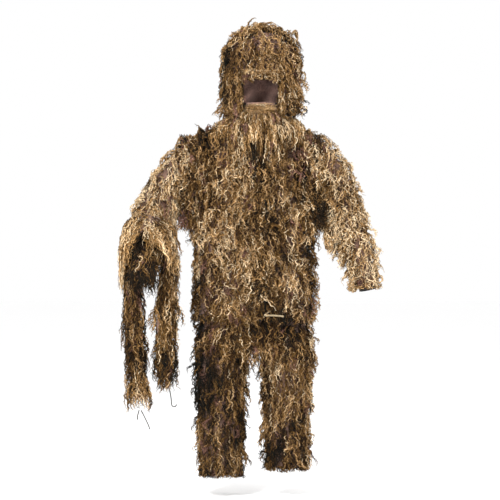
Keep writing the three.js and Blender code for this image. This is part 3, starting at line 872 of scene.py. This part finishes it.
# Places on the front where the threads are worn away and the mesh cloth shows: x, z and radius.
BARE_PATCHES = [(0.21, -0.03, 0.05), (0.44, -0.40, 0.03), (-0.33, -0.37, 0.04), (-0.19, -0.68, 0.03)]


def worn_away(points):
    """Marks most of the roots in the bare patches."""
    most = 0.75
    marked = np.zeros(len(points), bool)
    for x, z, radius in BARE_PATCHES:
        near = np.hypot(points[:, 0] - x, points[:, 2] - z) < radius
        marked |= near & (points[:, 1] < 0) & (RNG.random(len(points)) < most)
    return marked


def rooted(skin, style, first=0.0):
    """Jittered places in rows down a skin: their points, normals and the depth of their row."""
    found = []
    for depth in np.arange(first, skin.depth[-1], style["row"]):
        row = np.interp(depth, skin.depth, np.arange(len(skin.depth)))
        ring = skin.points[int(round(row))]
        round_it = np.linalg.norm(ring - np.roll(ring, 1, axis=0), axis=1).sum()
        count = max(4, int(round_it / style["gap"]))
        columns = (np.arange(count) + RNG.uniform(0, 1, count)) / count * len(ring)
        rows = row + RNG.normal(size=count) * 0.25
        points, normals, cloth = skin.at(rows, columns)
        cloth &= ~worn_away(points)
        found.append((points[cloth], normals[cloth], np.full(cloth.sum(), depth)))
    return joined(*found)


def tufts(points, normals, style, tree, base=BASE_TONE, lowest=-FAR, extra=0.0):
    """Paths and tones of the threads that hang from some roots. extra makes them stand further out."""
    facing_down = np.clip(-normals[:, 2], 0, 1)
    lengths = RNG.uniform(*style["length"], len(points)) * (1 - 0.55 * facing_down)
    heights = RNG.uniform(*style["height"], len(points))
    stand = heights + extra * RNG.uniform(0, 1, len(points))
    guides = hanging_paths(points, normals, lengths, stand, tree, style["sway"], style["spring"])
    low, high = style["height"]
    buried = 1 - (heights - low) / (high - low)
    # Painted shade: the guides that lie closest to the cloth are made darker by shade.
    shaded = tones_at(points, base) - style["shade"] * buried ** 2
    return threads_round(guides, normals, shaded, style, lowest)


# ---- Mesh cloth ----
def cloth_object(name, points, faces, uv, material):
    mesh = bpy.data.meshes.new(name)
    mesh.from_pydata(points.tolist(), [], faces)
    add_uv(mesh, uv)
    mesh.shade_smooth()
    mesh.materials.append(material)
    piece = add_object(name, mesh)
    return piece


def cloth_piece(name, skin, keep=None, material=NET_MATERIAL, ripple=0.003):
    """Cloth over a skin's faces, or those that keep marks, with soft creases."""
    rows, sides = skin.points.shape[:2]
    flat = skin.points.reshape(-1, 3)
    creased = flat - skin.normals.reshape(-1, 3) * (ripple * (0.3 + np.abs(mottle(flat * 1.7))))[:, None]
    whole = skin.cloth & np.roll(skin.cloth, -1, axis=1)
    whole = whole[:-1] & whole[1:]
    keep = whole if keep is None else whole & keep
    faces, places = [], []
    for r, c in np.argwhere(keep):
        a, b = r * sides + c, r * sides + (c + 1) % sides
        faces.append((a, b, b + sides, a + sides))
        places.extend([(c, r), (c + 1, r), (c + 1, r + 1), (c, r + 1)])
    used, faces = np.unique(np.array(faces), return_inverse=True)
    faces = faces.reshape(-1, 4)
    if faces_look_in(creased[used], faces, skin.normals.reshape(-1, 3)[used]):
        faces = faces[:, ::-1]
        places = [place for four in zip(*[iter(places)] * 4) for place in four[::-1]]
    uv = np.array(places) / (sides, max(rows - 1, 1))
    piece = cloth_object(name, creased[used], faces.tolist(), uv, material)
    solid = piece.modifiers.new("thickness", "SOLIDIFY")
    solid.thickness = CLOTH_THICKNESS
    solid.offset = -1
    return piece


def faces_look_in(points, faces, normals):
    first = points[faces[0]]
    normal = np.cross(first[1] - first[0], first[3] - first[0])
    return np.dot(normal, normals[faces[0][0]]) < 0


def face_middles(skin):
    """The middle of each of a skin's faces."""
    upper = (skin.points + np.roll(skin.points, -1, axis=1)) / 2
    return (upper[:-1] + upper[1:]) / 2


# ---- Garment parts ----
def standing(points, normals):
    """How much further threads stand out on top of the shoulders and where the sides face the sleeves."""
    high, low, beside_most, top_most = 0.01, -0.44, 0.040, 0.016
    beside = np.clip(np.abs(normals[:, 0]) * 1.6 - 0.5, 0, 1)
    down = np.clip((points[:, 2] - low) / (high - low), 0, 1)
    return beside_most * beside * np.sin(math.pi * down) ** 0.5 + top_most * np.clip(normals[:, 2], 0, 1)


def jacket(skin, tree):
    points, normals, _ = rooted(skin, SHAGGY)
    extra = standing(points, normals)
    middles = face_middles(skin)
    for part, chooser in (
        ("back", lambda p: p[..., 1] > 0),
        ("front_left", lambda p: (p[..., 1] <= 0) & (p[..., 0] > CLOSURE_X)),
        ("front_right", lambda p: (p[..., 1] <= 0) & (p[..., 0] <= CLOSURE_X)),
    ):
        chosen = chooser(points)
        paths, tones = tufts(
            points[chosen], normals[chosen], SHAGGY, tree, lowest=-0.770, extra=extra[chosen],
        )
        ride_all(thread_pieces(f"jacket_{part}_yarn", paths, tones), "jacket", f"jacket_{part}_threads")
        ride_all([cloth_piece(f"jacket_{part}_cloth", skin, chooser(middles))], "jacket", f"jacket_{part}")


def front_flap(tree):
    low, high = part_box("front_flap")
    count = int((high.z - low.z) / FLAP["row"] * 3)
    points = np.stack([
        RNG.uniform(low.x + 0.004, high.x - 0.004, count),
        np.full(count, low.y - 0.004),
        np.linspace(high.z, low.z + 0.05, count),
    ], axis=1)
    normals = np.tile(-BACK, (count, 1))
    paths, tones = tufts(points, normals, FLAP, tree, base=0.36, lowest=-0.76)
    yarn = thread_pieces("front_flap_yarn", paths, tones)
    ride_all(yarn, "front_flap", "front_flap_threads")


def whorl(skin):
    """Roots round the crown, whose threads lean in over its middle."""
    count, first, last = 80, 0.5, 6
    rows = RNG.uniform(first, last, count)
    points, normals, _ = skin.at(rows, RNG.uniform(0, skin.points.shape[1], count))
    inward = unit(skin.points[0].mean(axis=0) - points)
    return points, unit(normals * 0.3 + inward)


def face_arch(points, top, drop):
    """The height of an arch over the face opening, over or under each point."""
    half_width = 0.07
    return top - drop * ((points[:, 0] - HOOD_X) / half_width) ** 2


def hood_ends(points):
    """How low the hood's threads may hang: an arch over the face, and a ragged hem round the rest."""
    aside = np.abs(points[:, 0] - HOOD_X)
    over_face = (points[:, 1] < 0) & (points[:, 2] > 0.19) & (aside < 0.085)
    hem = np.where(points[:, 0] < HOOD_X + 0.09, 0.040, 0.058)
    ragged = RNG.normal(size=len(points)) * 0.006
    return np.where(over_face, face_arch(points, 0.200, 0.018), hem + ragged)


def hood(skin, tree):
    points, normals = joined(rooted(skin, SHAGGY)[:2], whorl(skin))
    lowest = hood_ends(points)
    middles = face_middles(skin)
    for side, sign in (("left", 1), ("right", -1)):
        chosen = (points[:, 0] - HOOD_X) * sign > 0
        style = {"left": {**SHAGGY, "height": (0.001, 0.010)}, "right": FLAT}[side]
        crown = 0.020 * np.clip(normals[chosen, 2], 0, 1)
        hung = tufts(points[chosen], normals[chosen], style, tree, 0.59, lowest[chosen], crown)
        paths, tones = joined(hung, cheek(skin, sign, tree))
        ride_all(thread_pieces(f"hood_{side}_yarn", paths, tones), "hood", f"hood_{side}_threads")
        keep = (middles[..., 0] - HOOD_X) * sign > 0
        cloth = cloth_piece(f"hood_{side}_cloth", skin, keep, material=LINING_MATERIAL, ripple=0.006)
        ride_all([cloth], "hood", f"hood_{side}")


def rows_at(skin, heights):
    """The rows of a skin at given heights, counted in parts of a row."""
    return np.interp(-heights, -skin.points[:, 0, 2], np.arange(len(skin.points)))


def front_columns(skin, first, last, count):
    """Columns of a skin round its front, from first to last shares of a turn off the middle."""
    return (0.75 + np.linspace(first, last, count)) * skin.points.shape[1]


def cheek(skin, sign, tree):
    """Threads down one side of the face opening, over the edge of the hood and its binding."""
    count, top, bottom = 34, 0.215, 0.105
    rows = rows_at(skin, np.linspace(top, bottom, count))
    columns = front_columns(skin, 0.090 * sign, 0.104 * sign, count)
    points, normals, _ = skin.at(rows, RNG.permutation(columns))
    style = {**STRAIGHT, "length": (0.05, 0.10), "spring": 0.3, "spread": 0.006}
    return tufts(points + normals * 0.006, normals, style, tree, base=0.50, lowest=0.060)


def brim(skin, tree):
    """A short ragged fringe over the face, in an arch, on a roll of threads laid across."""
    count, height = 44, 0.222
    rows = rows_at(skin, np.full(count, height))
    points, normals, _ = skin.at(rows, front_columns(skin, -0.095, 0.095, count))
    lowest = face_arch(points, 0.198, 0.022) + RNG.normal(size=count) * 0.008
    fringe = tufts(points + normals * 0.010, normals, FRINGE, tree, base=0.62, lowest=lowest)
    roll = laid_across(points + normals * 0.016, 80, 0.009, base=0.64)
    paths, tones = joined(fringe, roll)
    ride_all(thread_pieces("hood_brim_yarn", paths, tones), "hood", "hood_brim")


def hood_back_folds():
    """The back of the empty hood, sunk forward in folds behind the face opening."""
    rows, columns, top, bottom, half_width = 24, 48, 0.235, 0.078, 0.092
    across, down = np.meshgrid(np.linspace(-1, 1, columns), np.linspace(0, 1, rows))
    sag = 0.022 * np.sin(across * 5.5 + down * 3.0) * (0.4 + down)
    sag += 0.014 * np.sin(down * 9 + across * 2)
    bowl = 0.045 * across ** 2
    grid = np.stack([
        HOOD_X + half_width * across,
        -0.035 - bowl + sag + 0.03 * down,
        top + (bottom - top) * down + 0.012 * np.cos(across * 4),
    ], axis=2)
    sheet = sheet_piece("hood_back_folds", grid, LINING_MATERIAL)
    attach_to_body(sheet, "hood")


def laid_across(line, count, thick, base):
    """Kinked threads laid along a line of points, as a loose roll."""
    start = RNG.uniform(0, 0.6, count)
    span = RNG.uniform(0.3, 0.45, count)
    shares = np.clip(start[:, None] + span[:, None] * np.linspace(0, 1, THREAD_POINTS)[None, :], 0, 1)
    paths = between(shares * (len(line) - 1), np.arange(len(line)), line)
    paths += RNG.normal(size=(count, 1, 3)) * thick * (0.4, 0.4, 0.9)
    paths += RNG.normal(size=paths.shape) * 0.0016
    tones = np.clip(base + RNG.normal(size=count) * 0.1, 0, PALEST)
    return paths, tones


def chin_flap(skin, tree):
    """A rolled band of threads across the chin, with long straight ones falling from it in a fan."""
    count = 24
    points, normals, _ = skin.at(np.zeros(count), front_columns(skin, -0.082, 0.082, count))
    roll = laid_across(points + normals * 0.013 - UP * 0.025, 180, 0.010, base=0.60)
    again = np.tile(np.arange(count), 3)
    fan = np.clip((points[again, 0] - HOOD_X) / 0.07, -1, 1)[:, None] * RIGHT
    style = {**STRAIGHT, "spring": 1.0, "length": (0.05, 0.095)}
    roots = points[again] + normals[again] * 0.006 - UP * 0.034
    beard = tufts(roots, unit(normals[again] * 0.5 + fan), style, tree, base=0.62)
    paths, tones = joined(roll, beard)
    ride_all(thread_pieces("chin_flap_yarn", paths, tones), "chin_flap", "chin_flap_threads")
    ride_all([cloth_piece("chin_flap_cloth", skin)], "chin_flap", "chin_flap")


def neck_drape(skin, bib, tree):
    style = {**STRAIGHT, "row": 0.014, "curl": 0.003}
    points, normals, _ = rooted(skin, style)
    paths, tones = tufts(points, normals, style, tree, base=0.58, extra=0.010 * np.abs(normals[:, 0]))
    ride_all(thread_pieces("neck_drape_yarn", paths, tones), "neck_drape", "neck_drape_threads")
    ride_all([cloth_piece("neck_drape_cloth", skin)], "neck_drape", "neck_drape")
    points, normals, _ = rooted(bib, {**STRAIGHT, "row": 0.024})
    paths, tones = tufts(points, normals, {**STRAIGHT, "length": (0.06, 0.12)}, tree, base=0.60)
    ride_all(thread_pieces("drape_front_yarn", paths, tones), "neck_drape", "drape_front_threads")


def attach(pieces, bodies, skin, first, last, inset):
    """Pieces ride on the one body. With two, they ride on neither: their places are baked in, and the zone
    between the two, less a share of it at both ends, is worked out but not used.
    """
    if len(bodies) == 1:
        ride_all(pieces, bodies[0])
        return
    near, far = skin.middle(first), skin.middle(last)
    start, end = near + (far - near) * inset, far - (far - near) * inset
    blend_all(pieces, *bodies, start=tuple(start), end=tuple(end))


def limb(skin, zones, tree, style, base, lowest):
    """Cloth and threads down a limb, zone by zone.

    A zone is its name, its last depth, its bodies, its cloth and threads nodes and its inset.
    """
    points, normals, depths = rooted(skin, style)
    first = 0
    for name, depth, bodies, cloth_node, threads_node, inset in zones:
        last = skin.row_at(depth)
        cloth = cloth_piece(f"{name}_cloth", skin.rows_between(first, last))
        chosen = (depths >= skin.depth[first]) & (depths < skin.depth[last])
        on_top = 0.014 * np.clip(normals[chosen, 2], 0, 1)
        paths, tones = tufts(points[chosen], normals[chosen], style, tree, base, lowest, on_top)
        yarn = thread_pieces(f"{name}_yarn", paths, tones)
        attach([cloth, *yarn], bodies, skin, first, last, inset)
        if cloth_node:
            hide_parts(cloth_node)
            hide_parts(threads_node)
        first = last


def sleeve(side, skin, tree):
    upper, forearm = f"{side}_upper_sleeve", f"{side}_forearm"
    armhole = skin.depth[SHOULDER_ROWS]
    elbow = skin.depth[SHOULDER_ROWS + UPPER_ROWS]
    zones = [
        (f"{side}_shoulder", armhole, ("jacket", upper), None, None, 0.0),
        (upper, elbow - 0.07, (upper,), upper, f"{upper}_threads", 0.0),
        (f"{side}_elbow", elbow + 0.07, (upper, forearm), None, None, 0.25),
        (f"{forearm}_sleeve", FAR, (forearm,), f"{forearm}_sleeve", f"{forearm}_sleeve_threads", 0.0),
    ]
    base, cuff = {"left": (0.81, -0.635), "right": (0.79, -FAR)}[side]
    style = {"left": {**SHAGGY, "height": (0.001, 0.011), "mauve": 0.03}, "right": CLOSE}[side]
    limb(skin, zones, tree, style, base, cuff)
    underarm(side)


def underarm(side):
    """Threads that bridge the gap between the jacket and the upper sleeve."""
    sign = {"left": 1, "right": -1}[side]
    count, near, far, front, back, top, bottom = 420, 0.150, 0.285, -0.070, 0.035, -0.01, -0.36
    points = np.stack([
        sign * RNG.uniform(near, far, count),
        RNG.uniform(front, back, count),
        RNG.uniform(bottom, top, count),
    ], axis=1)
    style = {**CLOSE, "length": (0.07, 0.12), "mauve": 0.15}
    paths, tones = tufts(points, np.tile(-BACK, (count, 1)), style, None, base=0.46, lowest=-0.405)
    yarn = thread_pieces(f"{side}_underarm_yarn", paths, tones)
    middle = -0.18
    blend_all(
        yarn, "jacket", f"{side}_upper_sleeve",
        start=(sign * near, 0, middle), end=(sign * far, 0, middle),
    )


def leg(side, skin, tree):
    thigh, shin = f"{side}_thigh", f"{side}_shin"
    base, hem = {"left": (0.55, -1.354), "right": (0.49, -1.381)}[side]
    heights = (0.95, 1.05, 1.17, -hem)
    hip_end, knee_start, knee_end, hem_depth = np.interp(heights, -skin.points[:, 0, 2], skin.depth)
    zones = [
        (f"{side}_hip", hip_end, ("trousers", thigh), None, None, 0.1),
        (thigh, knee_start, (thigh,), thigh, f"{thigh}_threads", 0.0),
        (f"{side}_knee", knee_end, (thigh, shin), None, None, 0.1),
        (shin, hem_depth, (shin,), shin, f"{shin}_threads", 0.0),
    ]
    limb(skin, zones, tree, CLOSE, base, lowest=hem - 0.012)


def seat(skin, tree):
    points, normals, _ = rooted(skin, SHAGGY, first=0.08)
    paths, tones = tufts(points, normals, SHAGGY, tree)
    ride_all(thread_pieces("seat_yarn", paths, tones), "trousers", "trouser_seat_threads")
    middles = face_middles(skin)
    for part, sign in (("front", -1), ("back", 1)):
        cloth = cloth_piece(f"trouser_seat_{part}_cloth", skin, middles[..., 1] * sign > 0)
        ride_all([cloth], "trousers", f"trouser_seat_{part}")


# ---- Wrap ----
# Middles of the two hanging ends.
TAILS = {
    "outer": [
        (-0.494, -0.166, -0.50), (-0.482, -0.170, -0.62), (-0.474, -0.170, -0.78), (-0.452, -0.172, -1.02),
    ],
    "inner": [
        (-0.334, -0.166, -0.50), (-0.346, -0.170, -0.62), (-0.356, -0.170, -0.78), (-0.346, -0.172, -0.94),
    ],
}
TAIL_ENDS = {"outer": -1.125, "inner": -1.045}
TAIL_TONES = {"outer": 0.53, "inner": 0.56}


def wrap_saddle(skin, tree):
    style = {
        **SHAGGY, "per": 6, "row": 0.020, "gap": 0.018, "length": (0.12, 0.24), "height": (0.001, 0.008),
        "spring": 0.2, "sway": 0.12, "mauve": 0.02,
    }
    points, normals, depths = rooted(skin, style)
    pale = tufts(points, normals, style, tree, base=0.74)
    # Painted shade: darker threads hung just ahead of the last rows stand for the shade under the forearm.
    last = depths > depths.max() - 0.03
    ahead = points[last] - BACK * 0.004
    dark = tufts(ahead, normals[last], {**style, "length": (0.10, 0.18)}, None, base=0.34)
    paths, tones = joined(pale, dark)
    ride_all(thread_pieces("wrap_saddle_yarn", paths, tones), "wrap_saddle", "wrap_saddle")
    ride_all([cloth_piece("wrap_saddle_cloth", skin)], "wrap_saddle", "wrap_saddle")


def cuff_shade_fringe():
    """Dark threads that hang over the mouth of the right cuff and fill the space between the wrap's ends, as
    painted shade.
    """
    low, high = (np.array(corner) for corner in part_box("right_cuff_elastic"))
    count = 90
    points = np.stack([
        RNG.uniform(low[0] + 0.006, high[0] - 0.006, count),
        low[1] + RNG.uniform(0.0, 0.03, count),
        RNG.uniform(low[2] + 0.03, high[2] + 0.01, count),
    ], axis=1)
    style = {**CLOSE, "length": (0.08, 0.16), "spring": 0.2}
    paths, tones = tufts(points, np.tile(-BACK, (count, 1)), style, None, base=0.56, lowest=-0.67)
    for piece in thread_pieces("right_cuff_shade_yarn", paths, tones):
        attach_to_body(piece, "right_forearm")


def wrap_tail(name, line):
    line = np.array(line)
    depth = run_along(line)
    rows = np.repeat(np.arange(0, depth[-1], TAIL["row"]), 12)
    points = between(rows, depth, line)
    angles = RNG.uniform(0, 2 * math.pi, len(rows))
    normals = np.stack([np.cos(angles), np.sin(angles), np.full(len(rows), 0.1)], axis=1)
    points += normals * RNG.uniform(0.004, 0.024, len(rows))[:, None]
    points[:, 2] += RNG.normal(size=len(rows)) * 0.01
    paths, tones = tufts(points, normals, TAIL, None, base=TAIL_TONES[name], lowest=TAIL_ENDS[name])
    body = f"wrap_tail_{name}"
    ride_all(thread_pieces(f"{body}_yarn", paths, tones), body, body)
    wrap_net(name, line, depth)


def wrap_net(name, line, depth):
    """The strip of mesh cloth that a hanging end's threads are tied to, in three soft folds."""
    rows, columns, half_width, fold = 40, 30, 0.026, 0.010
    places = np.linspace(0, depth[-1] + 0.04, rows)
    middles = between(places, depth, line)
    middles[:, 2] = line[0, 2] - places
    across = np.linspace(-1, 1, columns)
    sway = np.sin(across * math.pi * 1.5 + places[:, None] * 9)
    aside = RIGHT * half_width * across[:, None]
    grid = middles[:, None, :] + aside + BACK * fold * sway[..., None]
    width = np.linalg.norm(np.diff(grid[0], axis=0), axis=1).sum()
    net = sheet_piece(f"wrap_net_{name}", grid, NET_MATERIAL)
    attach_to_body(net, f"wrap_tail_{name}")


def sheet_piece(name, grid, material, thickness=CLOTH_THICKNESS):
    """A loose piece of cloth from a grid of points."""
    rows, columns = grid.shape[:2]
    faces, places = [], []
    for r in range(rows - 1):
        for c in range(columns - 1):
            first = r * columns + c
            faces.append((first, first + 1, first + columns + 1, first + columns))
            places.extend([(c, r), (c + 1, r), (c + 1, r + 1), (c, r + 1)])
    uv = np.array(places) / (columns, rows)
    piece = cloth_object(name, grid.reshape(-1, 3), faces, uv, material)
    piece.modifiers.new("thickness", "SOLIDIFY").thickness = thickness
    return piece


# ---- Bands, strips and studs ----
def divided(node, longest):
    """A CAD node's shape with its long edges divided."""
    shape = bmesh.new()
    shape.from_mesh(NODES[node].data)
    for _ in range(8):
        edges = [edge for edge in shape.edges if edge.calc_length() > longest]
        if not edges:
            break
        bmesh.ops.subdivide_edges(shape, edges=edges, cuts=1)
        bmesh.ops.triangulate(shape, faces=[face for face in shape.faces if len(face.verts) > 3])
        bmesh.ops.dissolve_degenerate(shape, dist=0.0001, edges=shape.edges)
        bmesh.ops.triangulate(shape, faces=[face for face in shape.faces if len(face.verts) > 3])
    return shape


def shaped_object(name, shape, material):
    mesh = bpy.data.meshes.new(name)
    shape.to_mesh(mesh)
    shape.free()
    mesh.validate()
    mesh.shade_smooth()
    mesh.materials.clear()
    mesh.materials.append(material)
    piece = add_object(name, mesh)
    return piece


def gathered(node, body, material, axis, pitch, amount=0.0014):
    """A CAD band or strip with small gathers round an axis, or down its length where axis is None."""
    shape = divided(node, pitch / 2.5)
    low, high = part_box(node)
    middle = (np.array(low) + np.array(high)) / 2
    for vertex in shape.verts:
        off = np.array(vertex.co) - middle
        if axis is None:
            push, along = BACK, off[2] + off[0] * 0.4
        else:
            off -= axis * off.dot(axis)
            push = unit(off)
            along = math.atan2(push[0], push[1] + push[2]) * np.linalg.norm(off)
        wave = math.sin(2 * math.pi * along / pitch) + 0.5 * math.sin(2 * math.pi * along / (pitch * 2.7))
        vertex.co += Vector(push * wave * amount)
    ride_all([shaped_object(f"{node}_gathered", shape, material)], body, node)


def hem_tape():
    """The end of the jacket's hem tape, which shows as a pale bar over the threads."""
    left, right, top, width, front = 0.036, 0.118, -0.737, 0.007, -0.148
    across, down = np.meshgrid(np.linspace(0, 1, 20), np.linspace(0, 1, 4))
    grid = np.stack([
        left + (right - left) * across,
        front + 0.012 * (across - 0.5) ** 2 + 0.0015 * np.sin(across * 9),
        top - width * down + 0.0025 * np.sin(across * 3.1) - 0.003 * across,
    ], axis=2)
    tape = sheet_piece("jacket_hem_tape", grid, TAPE_MATERIAL, thickness=0.0016)
    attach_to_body(tape, "jacket")


def elastics_and_strips():
    gathered("jacket_hem_elastic", "jacket", ELASTIC_MATERIAL, UP, 0.014)
    gathered("waist_elastic", "trousers", ELASTIC_MATERIAL, UP, 0.014)
    for side in ("left", "right"):
        arm = sleeve_stations(side)
        axis = unit(arm[-1][0] - arm[-4][0])
        gathered(f"{side}_cuff_elastic", f"{side}_forearm", ELASTIC_MATERIAL, axis, 0.009)
    gathered("face_binding", "hood", ELASTIC_MATERIAL, BACK, 0.009, 0.0010)
    gathered("jacket_collar", "jacket", NET_MATERIAL, UP, 0.016)
    gathered("hanger_loop", "jacket", TAPE_MATERIAL, None, 0.012, 0.0006)
    gathered("under_placket", "jacket", NET_MATERIAL, None, 0.045, 0.0008)
    gathered("front_flap", "front_flap", NET_MATERIAL, None, 0.045, 0.0008)


def stud(node, body, dome):
    """A pressed metal stud half on the closure's middle line: a rolled rim and a dome or a hollow."""
    low, high = (np.array(corner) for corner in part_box(node))
    middle, radius, height = (low + high) / 2, (high[0] - low[0]) / 2, high[1] - low[1]
    profile = [(0.0, dome), (0.35, dome * 0.93), (0.62, dome * 0.7), (0.74, 0.35), (0.82, 0.5), (0.92, 0.62)]
    profile += [(0.99, 0.45), (1.0, 0.15), (0.97, 0.0), (0.0, 0.0)]
    sides, shape = 40, bmesh.new()
    rings = []
    for share, out in profile[1:-1]:
        ring = []
        for angle in 2 * math.pi * np.arange(sides) / sides:
            x = middle[0] + radius * share * math.cos(angle)
            z = middle[2] + radius * share * math.sin(angle)
            ring.append(shape.verts.new((x, high[1] - height * out, z)))
        rings.append(ring)
    front = shape.verts.new((middle[0], high[1] - height * dome, middle[2]))
    back = shape.verts.new((middle[0], high[1], middle[2]))
    for k in range(sides):
        following = (k + 1) % sides
        shape.faces.new((front, rings[0][k], rings[0][following]))
        shape.faces.new((back, rings[-1][following], rings[-1][k]))
        for inner, outer in zip(rings, rings[1:]):
            shape.faces.new((inner[k], outer[k], outer[following], inner[following]))
    bmesh.ops.recalc_face_normals(shape, faces=shape.faces)
    ride_all([shaped_object(f"{node}_pressed", shape, STUD_MATERIAL)], body, node)


# Locks that stick out of the outline: body, root, way out, length and tone.
LOCKS = [
    ("hood", (-0.090, -0.02, 0.325), (-1.0, 0.0, 0.3), 0.06, 0.48),
    ("hood", (-0.020, 0.00, 0.392), (-0.2, 0.0, 1.0), 0.04, 0.56),
    ("hood", (0.130, -0.01, 0.372), (0.5, 0.0, 1.0), 0.06, 0.54),
    ("jacket", (-0.190, -0.03, -0.010), (-0.5, -0.2, 1.0), 0.07, 0.34),
    ("jacket", (-0.150, -0.03, -0.002), (-0.2, -0.2, 1.0), 0.05, 0.36),
    ("jacket", (0.215, -0.02, -0.012), (0.6, -0.1, 1.0), 0.06, 0.50),
    ("left_forearm", (0.392, -0.06, -0.600), (-0.2, -0.2, -1.0), 0.11, 0.60),
    ("left_upper_sleeve", (0.300, -0.06, -0.400), (-0.3, -0.5, -0.6), 0.16, 0.60),
    ("jacket", (0.205, -0.05, -0.360), (1.0, -0.2, 0.0), 0.10, 0.52),
    ("jacket", (-0.215, -0.05, -0.400), (-1.0, -0.2, 0.0), 0.09, 0.50),
]


def locks(tree):
    for number, (body, root, way, length, tone) in enumerate(LOCKS):
        style = {**LOCK, "length": (length * 0.8, length)}
        spots = np.array(root) + RNG.normal(size=(3, 3)) * 0.010
        paths, tones = tufts(spots, np.tile(unit(np.array(way)), (3, 1)), style, tree, base=tone)
        for piece in thread_pieces(f"lock_{number + 1}", paths, tones):
            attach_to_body(piece, body)


def main():
    make_camera()
    for node, (body, route) in TIES.items():
        tie(node, body, route)
    make_studio()
    skins = make_skins()
    bib = skins.pop("bib")
    tree = skins_tree(skins.values())
    jacket(skins["jacket"], tree)
    front_flap(tree)
    hood(skins["hood"], tree)
    brim(skins["hood"], tree)
    chin_flap(skins["chin_flap"], tree)
    neck_drape(skins["neck_drape"], bib, tree)
    seat(skins["seat"], tree)
    for side in ("left", "right"):
        sleeve(side, skins[f"{side}_sleeve"], tree)
        leg(side, skins[f"{side}_leg"], tree)
    wrap_saddle(skins["saddle"], tree)
    cuff_shade_fringe()
    for name, line in TAILS.items():
        wrap_tail(name, line)
    hood_back_folds()
    elastics_and_strips()
    hem_tape()
    for number in range(1, 5):
        stud(f"stud_cap_{number}", "front_flap", dome=1.0)
        stud(f"stud_socket_{number}", "jacket", dome=0.9)
    locks(tree)


main()
